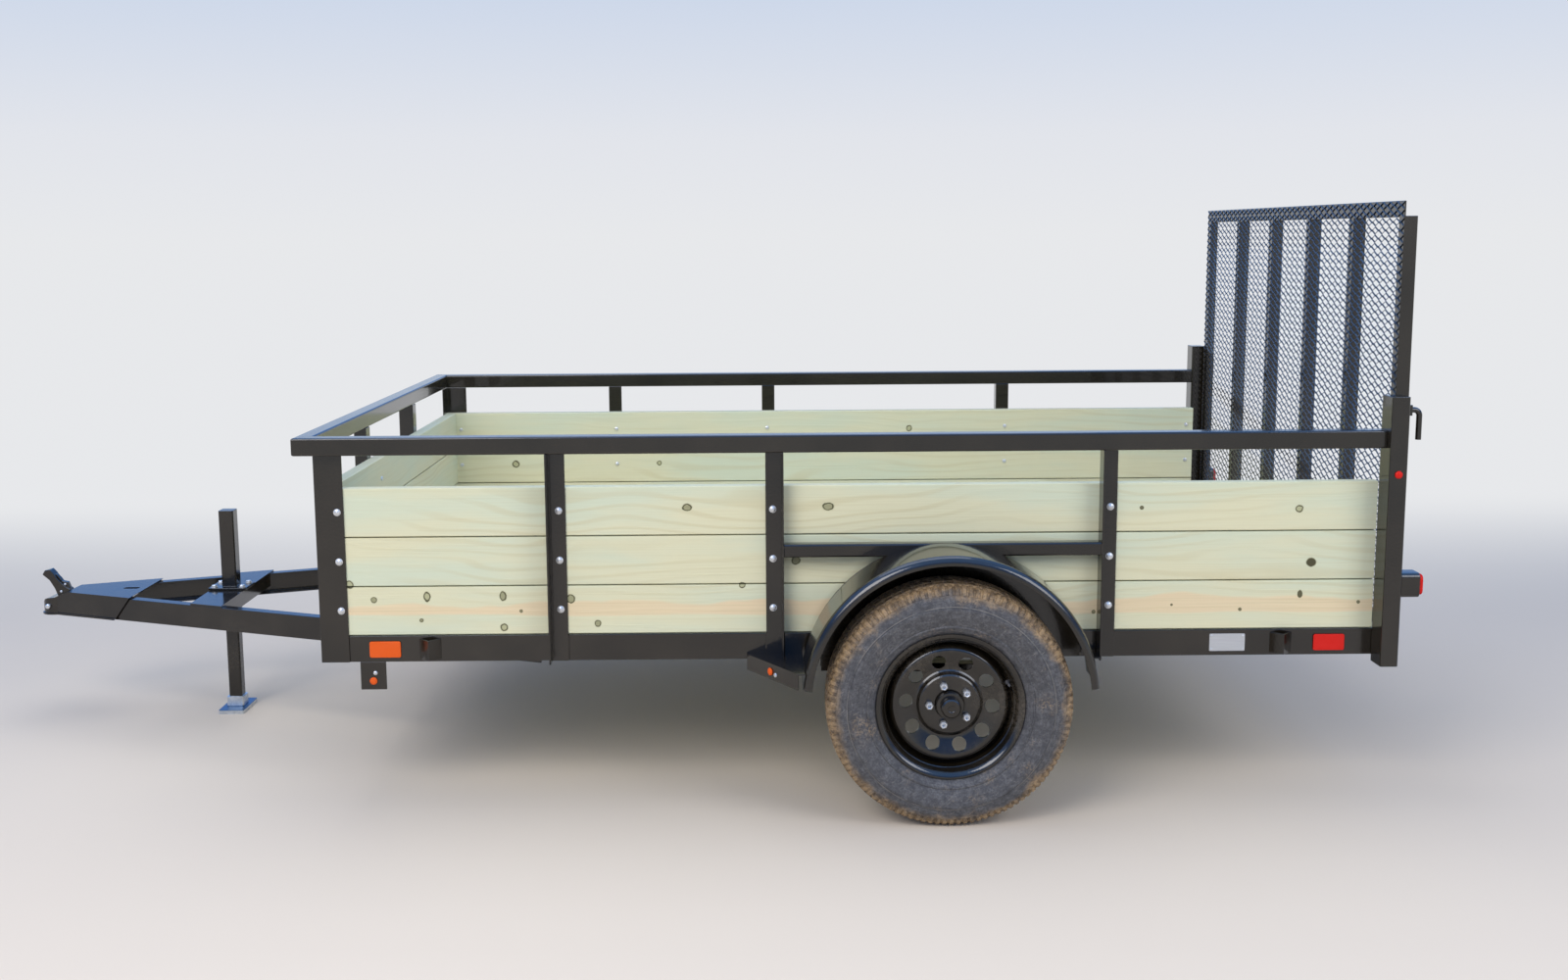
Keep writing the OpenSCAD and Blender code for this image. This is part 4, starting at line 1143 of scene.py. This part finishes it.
@dataclass
class Wheel:
    """Tyre with cut tread, painted rim, hub with lug nuts, grease cap and valve.

    Each section is a line of radii and distances out from the wheel's middle.
    """

    side: Side
    paint: Material
    rim_paint: Material
    zinc: Material
    rubber: Material
    tyre_steps: int = 216
    half_section: Section = (
        (0.2075, 0.0705), (0.2115, 0.0775), (0.218, 0.0835), (0.226, 0.0875), (0.2275, 0.0900),
        (0.2305, 0.0902), (0.2325, 0.0885), (0.245, 0.0945), (0.262, 0.0995), (0.276, 0.1020),
        (0.2805, 0.1025), (0.2840, 0.1017), (0.2855, 0.0979), (0.297, 0.0963), (0.307, 0.0940),
        (0.3165, 0.0900), (0.3175, 0.0882), (0.3215, 0.0870), (0.331, 0.0815), (0.3375, 0.0745),
        (0.3400, 0.0660), (0.3420, 0.0545), (0.3340, 0.0535), (0.3340, 0.0475), (0.3428, 0.0465),
        (0.3435, 0.0250), (0.3345, 0.0240), (0.3345, 0.0180), (0.3438, 0.0170), (0.3440, 0.0))
    lining: Section = ((0.1915, -0.0685), (0.1915, 0.0685))
    shoulder_r: float = 0.318
    shoulder_y: float = 0.0545
    shoulder_every: int = 2
    shoulder_rim: float = 0.0018
    shoulder_cut: float = 0.0038
    rib_r: float = 0.341
    rib_y: float = 0.0535
    rib_every: int = 3
    rib_rim: float = 0.0022
    rib_cut: float = 0.0055
    rim_steps: int = 72
    rim_ease: float = 0.0016
    barrel_section: Section = (
        (0.2064, 0.0718), (0.2070, 0.0752), (0.2058, 0.0768), (0.2035, 0.0770), (0.2000, 0.0764),
        (0.1962, 0.0743), (0.1925, 0.0715), (0.1895, 0.0680), (0.1866, 0.0645), (0.1846, 0.0605),
        (0.1838, 0.0560), (0.1815, 0.0525), (0.1790, 0.0500), (0.1780, 0.0440), (0.1762, 0.0400),
        (0.1755, 0.0290), (0.1755, -0.0600), (0.1837, -0.0660), (0.1960, -0.0740), (0.2035, -0.0770),
        (0.2070, -0.0752), (0.2064, -0.0718), (0.1990, -0.0710), (0.1897, -0.0690), (0.1885, 0.0),
        (0.1897, 0.0690), (0.1990, 0.0710))
    disc_section: Section = (
        (0.1802, 0.0120), (0.1730, 0.0150), (0.1692, 0.0210), (0.1672, 0.0290), (0.1650, 0.0360),
        (0.1605, 0.0420), (0.1552, 0.0452), (0.1500, 0.0462), (0.1440, 0.0452), (0.1340, 0.0420),
        (0.1210, 0.0375), (0.1080, 0.0328), (0.1000, 0.0304), (0.0950, 0.0304), (0.0908, 0.0330),
        (0.0876, 0.0395), (0.0848, 0.0455), (0.0805, 0.0481), (0.0600, 0.0484), (0.0420, 0.0480),
        (0.0404, 0.0468), (0.0404, 0.0421), (0.0790, 0.0421), (0.0835, 0.0365), (0.0880, 0.0275),
        (0.0940, 0.0246), (0.1010, 0.0250), (0.1110, 0.0284), (0.1250, 0.0332), (0.1480, 0.0405),
        (0.1540, 0.0390), (0.1585, 0.0345), (0.1612, 0.0250), (0.1640, 0.0160), (0.1700, 0.0090),
        (0.1802, 0.0060))
    holes: int = 10
    hole_phase: float = -0.11
    hole_r: float = 0.020
    hole_circle: float = 0.121
    drill_length: float = 0.153
    hub_steps: int = 40
    hub_section: Section = (
        (0.0, 0.058), (0.0186, 0.058), (0.0186, -0.060), (0.038, -0.060), (0.040, -0.057),
        (0.040, 0.032), (0.072, 0.032), (0.074, 0.034), (0.074, 0.0419), (0.0398, 0.0419),
        (0.0398, 0.060), (0.0375, 0.065), (0.034, 0.066), (0.028, 0.066), (0.028, 0.086),
        (0.0265, 0.0915), (0.023, 0.0950), (0.010, 0.0958), (0.0085, 0.0945), (0.0, 0.0945))
    lugs: int = 5
    lug_phase: float = 0.5
    lug_circle: float = 0.05715
    lug_r: float = 0.0115
    lug_h: float = 0.020
    lug_y: float = 0.048
    lug_shares: Section = (
        (0.0, 0.48), (0.42, 0.48), (0.46, 0.94), (0.58, 1.0), (0.78, 0.97), (0.98, 0.80), (1.0, 0.30),
        (0.92, 0.16), (0.80, 0.0), (0.0, 0.0))
    valve_steps: int = 12
    valve_turn: float = math.radians(20.0)
    valve_at: Point = (0.1720, 0.0, 0.036)
    valve_section: Section = (
        (0.0, 0.034), (0.0032, 0.034), (0.0036, 0.033), (0.0036, 0.024), (0.0030, 0.0235),
        (0.0034, 0.016), (0.0055, 0.006), (0.0070, 0.0), (0.0, -0.004))
    place: Matrix = field(init=False)

    def __post_init__(self) -> None:
        """Finds the wheel's middle."""
        low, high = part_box("tyre_" + self.side.word)
        self.place = Workshop.facing((low + high) / 2, self.side.out)

    def build(self) -> None:
        """Builds the wheel's pieces."""
        self._tyre()
        self._rim()
        self._hub()
        self._valve()

    def _tyre(self) -> None:
        """Builds the tyre by spinning its section and cutting its tread."""
        far_half = tuple((radius, -y) for radius, y in reversed(self.half_section[:-1]))
        section = self.half_section + far_half + self.lining
        bm = Workshop.lathe(section + section[:1], self.tyre_steps)
        self._cut_tread(bm)
        bmesh.ops.transform(bm, matrix=self.place, verts=bm.verts)
        piece = add_piece("tyre_%s_tread" % self.side.word, bm, self.rubber, self.side.wheel)
        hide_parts("tyre_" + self.side.word)

    def _cut_tread(self, bm: Mesh) -> None:
        """Cuts cross grooves into the shoulders and ribs.

        Args:
            bm: Mesh of the tyre about the Z axis.
        """
        ribs, shoulders = [], []
        for face in bm.faces:
            centre = face.calc_center_median()
            radius = math.hypot(centre.x, centre.y)
            step = math.floor(math.atan2(centre.y, centre.x) / math.tau * self.tyre_steps + 0.5)
            shoulder = radius > self.shoulder_r and abs(centre.z) > self.shoulder_y
            rib = radius > self.rib_r and abs(centre.z) < self.rib_y
            if shoulder and step % self.shoulder_every == 0:
                shoulders.append(face)
            elif rib and (step + (centre.z > 0)) % self.rib_every == 0:
                ribs.append(face)
        bmesh.ops.inset_individual(bm, faces=ribs, thickness=self.rib_rim, depth=-self.rib_cut,
                                   use_even_offset=True)
        bmesh.ops.inset_region(bm, faces=shoulders, thickness=self.shoulder_rim, depth=-self.shoulder_cut,
                               use_even_offset=True)

    def _ringed(self, count: int, phase: float, offset: Point) -> list[Matrix]:
        """Spreads places evenly round the Z axis.

        Args:
            count: Number of places.
            phase: Turn of the first one, in steps.
            offset: Place before the turn.

        Returns:
            A transform for each place.
        """
        return [Matrix.Rotation(math.tau * (i + phase) / count, 4, "Z") @ Matrix.Translation(offset)
                for i in range(count)]

    def _rim(self) -> None:
        """Builds the rim's barrel and its pressed disc with hand holes."""
        barrel = Workshop.lathe(self.barrel_section + self.barrel_section[:1], self.rim_steps)
        disc = Workshop.lathe(self.disc_section + self.disc_section[:1], self.rim_steps)
        holes = self._ringed(self.holes, self.hole_phase, (self.hole_circle, 0, 0))
        disc = Workshop.drilled(disc, self.hole_r, self.drill_length, holes)
        bm = Workshop.joined(((barrel, self.place), (disc, self.place)))
        node = "rim_" + self.side.word
        piece = add_piece(node + "_paint", bm, self.rim_paint, self.side.wheel, self.rim_ease,
                          segments=3)
        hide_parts(node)

    def _hub(self) -> None:
        """Builds the hub with its cap, and the plated lug nuts."""
        hub = Workshop.lathe(self.hub_section, self.hub_steps)
        bmesh.ops.transform(hub, matrix=self.place, verts=hub.verts)
        piece = add_piece("hub_%s_cap" % self.side.word, hub, self.paint, self.side.wheel)
        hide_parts("hub_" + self.side.word)
        nut = Workshop.turned(self.lug_shares, self.lug_r, self.lug_h, HEX_SIDES)
        ring = self._ringed(self.lugs, self.lug_phase, (self.lug_circle, 0, self.lug_y))
        nuts = Workshop.stamped(nut, [self.place @ spot for spot in ring])
        add_piece("lug_nuts_" + self.side.word, nuts, self.zinc, self.side.wheel)

    def _valve(self) -> None:
        """Builds the tyre valve through the rim's edge."""
        stem = Workshop.lathe(self.valve_section, self.valve_steps)
        spot = Matrix.Rotation(self.valve_turn, 4, "Z") @ Matrix.Translation(self.valve_at)
        bmesh.ops.transform(stem, matrix=self.place @ spot, verts=stem.verts)
        add_piece("valve_" + self.side.word, stem, self.rubber, self.side.wheel)


@dataclass
class Latch:
    """Coupler's latch lever with its trigger and pins, and the bolt in the coupler's nose.

    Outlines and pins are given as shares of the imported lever's box in X and Z.
    """

    paint: Material
    zinc: Material
    lever_ease: float = 0.0022
    lever: Section = (
        (0.0, 0.81), (0.095, 0.97), (0.29, 1.0), (0.42, 0.85), (0.56, 0.62), (0.80, 0.36), (1.0, 0.24),
        (1.0, 0.02), (0.54, -0.03), (0.43, 0.28), (0.25, 0.59))
    trigger: Section = (
        (0.40, 0.80), (0.48, 0.82), (0.62, 0.66), (0.70, 0.54), (0.90, 0.50), (0.96, 0.32), (1.04, 0.16),
        (0.94, 0.04), (0.60, 0.08), (0.48, 0.46))
    trigger_width: float = 0.5
    pins: Section = ((0.80, 0.42), (0.68, 0.16))
    pin_reach: Span = (0.5, 1.0)
    pin_r: float = 0.0042
    pin_h: float = 0.004
    pin_steps: int = 14
    pin_shares: Section = ((0.0, 1.0), (0.6, 1.0), (1.0, 0.7), (1.0, -1.0), (0.0, -1.0))
    nose_bolt: Point = (0.030, 0.046, 0.030)
    nose_bolt_scale: float = 2.0

    def build(self) -> None:
        """Builds the lever, its pins and the nose bolt."""
        low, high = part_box("coupler_lever")
        width = high.y - low.y
        still = Matrix.Identity(4)
        lever = Workshop.plate(self._placed(self.lever), width)
        trigger = Workshop.plate(self._placed(self.trigger), width * self.trigger_width)
        bm = Workshop.joined(((lever, still), (trigger, still)))
        piece = add_piece("coupler_lever_steel", bm, self.paint, Body.CHASSIS, self.lever_ease,
                          segments=3)
        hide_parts("coupler_lever")
        pin = Workshop.turned(self.pin_shares, self.pin_r, self.pin_h, self.pin_steps)
        places = [Workshop.facing((x, side.value * width / 2 * share, z), side.out)
                  for (x, z), share in zip(self._placed(self.pins), self.pin_reach) for side in Side]
        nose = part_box("coupler")[0]
        back, out, up = self.nose_bolt
        for side in Side:
            spot = Workshop.facing((nose.x + back, side.value * out, nose.z + up), side.out)
            places.append(spot @ Matrix.Scale(self.nose_bolt_scale, 4))
        add_piece("coupler_pins", Workshop.stamped(pin, places), self.zinc, Body.CHASSIS)

    @staticmethod
    def _placed(shares: Section) -> list[Span]:
        """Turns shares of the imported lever's box into places in X and Z."""
        low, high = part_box("coupler_lever")
        size = high - low
        return [(low.x + across * size.x, low.z + up * size.z) for across, up in shares]


@dataclass
class JackFoot:
    """Sliding jack leg on its plated foot, and the bolts of the jack's flange."""

    paint: Material
    zinc: Material
    zinc_and_sky_reflection: Material
    cut_z: float = 0.0485
    leg_ease: float = 0.001
    foot_ease: float = 0.003
    flange_z: float = 0.442
    bolt_in: float = 0.017
    bolt_section: Section = (
        (0.0, 0.008), (0.0085, 0.008), (0.0095, 0.0065), (0.0095, 0.0022), (0.0125, 0.0020), (0.0125, 0.0),
        (0.0, 0.0))

    def build(self) -> None:
        """Builds the leg, the foot and the flange bolts."""
        leg = Workshop.cad_copy("jack_leg")
        foot = leg.copy()
        for bm, upper_part in ((leg, True), (foot, False)):
            bmesh.ops.bisect_plane(bm, geom=bm.verts[:] + bm.edges[:] + bm.faces[:],
                                   plane_co=(0, 0, self.cut_z), plane_no=(0, 0, 1),
                                   clear_inner=upper_part, clear_outer=not upper_part)
            bmesh.ops.bridge_loops(bm, edges=[edge for edge in bm.edges if edge.is_boundary])
            bmesh.ops.recalc_face_normals(bm, faces=bm.faces)
        upper = add_piece("jack_leg_tube", leg, self.paint, Body.JACK, self.leg_ease)
        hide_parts("jack_leg")
        # The foot plate's finish carries a painted blue sky reflection on its top face.
        add_piece("jack_foot_plate", foot, self.zinc_and_sky_reflection, Body.JACK, self.foot_ease, segments=3)
        low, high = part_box("jack_tube")
        places = [Matrix.Translation((x, y, self.flange_z))
                  for x in (low.x + self.bolt_in, high.x - self.bolt_in)
                  for y in (low.y + self.bolt_in, high.y - self.bolt_in)]
        bolts = Workshop.stamped(Workshop.lathe(self.bolt_section, HEX_SIDES), places)
        add_piece("jack_flange_bolts", bolts, self.zinc, Body.CHASSIS)


@dataclass
class Fittings:
    """Lamps, reflectors, plate and the fasteners beside them."""

    zinc: Material
    plate: Material
    amber: Material
    red: Material
    lens_ease: float = 0.0035
    screw_steps: int = 12
    screw_section: Section = ((0.0, 0.0042), (0.0030, 0.0040), (0.0055, 0.0026), (0.0066, 0.0), (0.0, 0.0))
    bracket_screw: Span = (0.006, 0.049)
    skirt_angle: float = math.radians(57.3)
    skirt_screw: Point = (0.349, 1.1148, 0.418)
    rivet_in: float = 0.006
    rivet_scale: float = 0.45

    def build(self) -> None:
        """Builds all fittings."""
        amber = (self.amber, Slot.AMBER)
        red = (self.red, Slot.RED)
        for node, (finish, slot) in (("amber_reflectors", amber), ("red_reflectors", red),
                                     ("amber_markers", amber), ("red_markers", red), ("lamp_lenses", red)):
            bm = Workshop.cad_copy(node)
            piece = add_piece(node + "_lens", bm, finish, Body.CHASSIS, self.lens_ease, segments=3)
            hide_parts(node)
        coat_node("blank_plate", self.plate)
        self._screws()

    def _screws(self) -> None:
        """Builds the screws beside the marker lamps and the rivets of the plate."""
        places = []
        low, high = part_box("marker_brackets")
        back, up = self.bracket_screw
        sine, cosine = math.sin(self.skirt_angle), math.cos(self.skirt_angle)
        for side in Side:
            y = side.value * max(abs(low.y), abs(high.y))
            places.append(Workshop.facing(((low.x + high.x) / 2 + back, y, low.z + up), side.out))
            x, y, z = self.skirt_screw
            places.append(Workshop.facing((x, y * side.value, z), (-sine, cosine * side.value, 0.0)))
        low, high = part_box("blank_plate")
        for x in (low.x + self.rivet_in, high.x - self.rivet_in):
            for z in (low.z + self.rivet_in, high.z - self.rivet_in):
                spot = Workshop.facing((x, low.y, z), (0, -1, 0))
                places.append(spot @ Matrix.Scale(self.rivet_scale, 4))
        screws = Workshop.stamped(Workshop.lathe(self.screw_section, self.screw_steps), places)
        add_piece("fitting_screws", screws, self.zinc, Body.CHASSIS)


@dataclass
class Welds:
    """Weld beads where uprights and fender bars meet the walls' steel."""

    finish: Material
    steel: WallFrame = WallFrame()
    radius: float = 0.0028
    proud: float = 0.0012
    rail_low: float = 0.432
    rail_high: float = 0.504
    post_top: float = 1.033

    def build(self) -> None:
        """Builds all beads as one piece."""
        lines = [line for side in Side for line in self._wall_lines(side)]
        beads = [(Workshop.bead(Vector(a), Vector(b), self.radius), Matrix.Identity(4)) for a, b in lines]
        add_piece("weld_beads", Workshop.joined(beads), self.finish, Body.CHASSIS)

    def _wall_lines(self, side: Side) -> list[tuple[Point, Point]]:
        """Lists the beads of one side wall.

        Args:
            side: Side of the trailer.

        Returns:
            Both ends of each bead.
        """
        wall, uprights = self.steel.measure(side)
        face = wall + self.proud * side.value
        outer = wall + self.steel.angle_t * side.value
        foot = wall + self.steel.upright_w * side.value
        lines = []
        for x in uprights:
            far = x + self.steel.upright_w
            for edge in (x, far):
                lines.append(((edge, face, self.rail_low), (edge, face, self.rail_high)))
            lines.append(((x, outer, self.post_top), (far, outer, self.post_top)))
        low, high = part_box("fender_bars")
        for x in (low.x, high.x):
            lines.append(((x, foot, low.z + self.radius), (x, foot, high.z - self.radius)))
        return lines


@dataclass(frozen=True)
class Softbox:
    """A square area lamp: where it hangs, what it is aimed at, its width, power and colour."""

    name: str
    place: Point
    aim: Point
    size: float
    power: float
    colour: Colour


@dataclass
class Studio:
    """Camera at the photograph's place, pale floor, graded backdrop and soft lamps."""

    eye: Point = (0.298, -5.420, 1.637)
    yaw: float = math.radians(0.27)
    pitch: float = math.radians(8.03)
    roll: float = math.radians(-0.39)
    lens: float = 36.4
    shift_x: float = 0.0134
    shift_y: float = -0.0200
    sensor: float = 36.0
    floor_half: float = 60.0
    floor_colour: Colour = (0.70, 0.635, 0.55)
    horizon_colour: Colour = (0.80, 0.81, 0.83)
    floor_dim: float = 0.97
    floor_scale: float = 0.7
    behind: Span = (1.0, 4.5)
    around: Span = (4.5, 8.5)
    shown_sky: tuple[tuple[float, Colour], ...] = (
        (0.0, (0.80, 0.81, 0.83)), (0.06, (0.76, 0.78, 0.83)), (0.14, (0.62, 0.69, 0.82)),
        (0.22, (0.36, 0.47, 0.74)), (0.50, (0.30, 0.41, 0.70)), (1.0, (0.40, 0.49, 0.68)))
    mirrored_sky: tuple[tuple[float, Colour], ...] = (
        (0.0, (0.40, 0.405, 0.415)), (0.09, (0.28, 0.33, 0.40)), (0.20, (0.09, 0.18, 0.38)),
        (0.34, (0.06, 0.16, 0.40)), (0.52, (0.13, 0.36, 0.85)), (1.0, (0.18, 0.42, 0.90)))
    mirrored_gain: float = 2.3
    softboxes: tuple[Softbox, ...] = (
        Softbox("front_softbox", (-2.6, -5.6, 4.6), (0.2, 0.0, 0.6), 3.6, 290.0, (1.0, 0.93, 0.84)),
        Softbox("side_softbox", (4.6, -4.2, 3.4), (0.4, 0.0, 0.6), 2.6, 110.0, (1.0, 0.96, 0.90)),
        Softbox("top_softbox", (0.0, 0.6, 5.4), (0.0, 0.0, 0.5), 4.5, 110.0, (1.0, 0.98, 0.95)))

    def build(self) -> None:
        """Builds camera, floor, backdrop and lamps."""
        self._camera()
        self._floor()
        self._sky()
        self._lamps()
        bpy.context.scene.view_settings.view_transform = "Standard"

    def _camera(self) -> None:
        """Places the camera for a picture of 1600 by 1000."""
        ahead = Vector((math.sin(self.yaw) * math.cos(self.pitch), math.cos(self.yaw) * math.cos(self.pitch),
                        -math.sin(self.pitch)))
        level = Vector((math.cos(self.yaw), -math.sin(self.yaw), 0.0))
        above = level.cross(ahead)
        right = level * math.cos(self.roll) + above * math.sin(self.roll)
        up = above * math.cos(self.roll) - level * math.sin(self.roll)
        turn = Matrix((right, up, -ahead)).transposed().to_4x4()
        data = bpy.data.cameras.new("photo_camera")
        data.sensor_width = self.sensor
        data.lens = self.lens
        data.shift_x = self.shift_x
        data.shift_y = self.shift_y
        camera = bpy.data.objects.new("photo_camera", data)
        camera.matrix_world = Matrix.Translation(self.eye) @ turn
        bpy.context.scene.collection.objects.link(camera)
        bpy.context.scene.camera = camera

    def _floor(self) -> None:
        """Lays the pale floor."""
        bm = bmesh.new()
        bmesh.ops.create_grid(bm, x_segments=2, y_segments=2, size=self.floor_half)
        mesh = bpy.data.meshes.new("floor")
        bm.to_mesh(mesh)
        bm.free()
        g = ShaderGraph("pale_floor")
        tone = g.noise(g.place, self.floor_scale, detail=3.0)
        dim = tuple(self.floor_dim * part for part in self.floor_colour)
        g.set(Base_Color=g.mix(tone, self.floor_colour, dim), Roughness=0.85, Specular_IOR_Level=0.1)
        self._fade(g)
        mesh.materials.append(g.material)
        floor = bpy.data.objects.new("floor", mesh)
        bpy.context.scene.collection.objects.link(floor)

    def _fade(self, g: ShaderGraph) -> None:
        """Fades the far floor into the backdrop's colour for the rays that show it.

        Args:
            g: Graph of the floor's material.
        """
        away = g.add("ShaderNodeVectorMath", operation="LENGTH")
        g.feed(away.inputs[0], g.place)
        faded = g.most(g.between(g.split(g.place)[1], *self.behind),
                       g.between(away.outputs["Value"], *self.around))
        path = g.add("ShaderNodeLightPath")
        shown = g.plus(path.outputs["Is Camera Ray"], path.outputs["Is Glossy Ray"])
        shown = g.plus(shown, path.outputs["Is Transmission Ray"], clamp=True)
        glow = g.add("ShaderNodeEmission")
        g.feed(glow.inputs["Color"], self.horizon_colour)
        blend = g.add("ShaderNodeMixShader")
        g.feed(blend.inputs[0], g.times(faded, shown))
        g.feed(blend.inputs[1], g.shader.outputs[0])
        g.feed(blend.inputs[2], glow.outputs[0])
        g.feed(g.tree.nodes["Material Output"].inputs["Surface"], blend.outputs[0])

    def _sky(self) -> None:
        """Grades the backdrop from pale at the horizon to blue above, deeper where gloss mirrors it."""
        world = bpy.data.worlds.new("backdrop")
        world.use_nodes = True
        g = NodeGraph(world.node_tree)
        height = g.split(g.add("ShaderNodeTexCoord").outputs["Generated"])[2]
        glossy = g.add("ShaderNodeLightPath").outputs["Is Glossy Ray"]
        colour = g.mix(glossy, g.ramp(height, self.shown_sky), g.ramp(height, self.mirrored_sky))
        background = g.tree.nodes["Background"]
        g.feed(background.inputs["Color"], colour)
        g.feed(background.inputs["Strength"], g.scaled(glossy, self.mirrored_gain - 1.0, 1.0))
        bpy.context.scene.world = world

    def _lamps(self) -> None:
        """Hangs two warm softboxes in front and one above."""
        for box in self.softboxes:
            data = bpy.data.lights.new(box.name, "AREA")
            data.size = box.size
            data.energy = box.power
            data.color = box.colour
            lamp = bpy.data.objects.new(box.name, data)
            lamp.location = box.place
            lamp.rotation_euler = (Vector(box.aim) - Vector(box.place)).to_track_quat("-Z", "Y").to_euler()
            bpy.context.scene.collection.objects.link(lamp)


def main() -> None:
    """Builds the scene piece by piece."""
    logging.basicConfig(level=logging.INFO, format="%(name)s: %(message)s")
    Studio().build()
    paint = BlackPaint().make()
    rim_paint = BlackPaint("dusty_rim_paint", dust_from=0.85, dust_to=0.30, dust_share=0.5).make()
    zinc = ZincPlate().make()
    low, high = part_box("tyre_left")
    axle = (low + high) / 2
    rubber = DustyRubber(axle.x, axle.z).make()
    SteelWork(paint).build()
    RampMesh(paint).build()
    Walls(zinc).build()
    for side in Side:
        Wheel(side, paint, rim_paint, zinc, rubber).build()
    Latch(paint, zinc).build()
    # Bluish zinc for the jack foot, with a painted blue sky reflection on the top face of its plate.
    foot_zinc_and_sky_reflection = ZincPlate("blue_zinc_with_painted_sky", bright=(0.62, 0.66, 0.70), dull=(0.46, 0.51, 0.56),
                             metallic=0.8, painted_sky_reflection=(0.045, 0.115, 0.215), reflection_face_z=0.014)
    JackFoot(paint, zinc, foot_zinc_and_sky_reflection.make()).build()
    amber = PrismLens("amber_plastic", (0.78, 0.115, 0.012), (0.58, 0.065, 0.006)).make()
    red = PrismLens("red_plastic", (0.68, 0.014, 0.008), (0.42, 0.006, 0.004)).make()
    Fittings(zinc, BrushedPlate().make(), amber, red).build()
    Welds(paint).build()


if __name__ == "__main__":
    main()
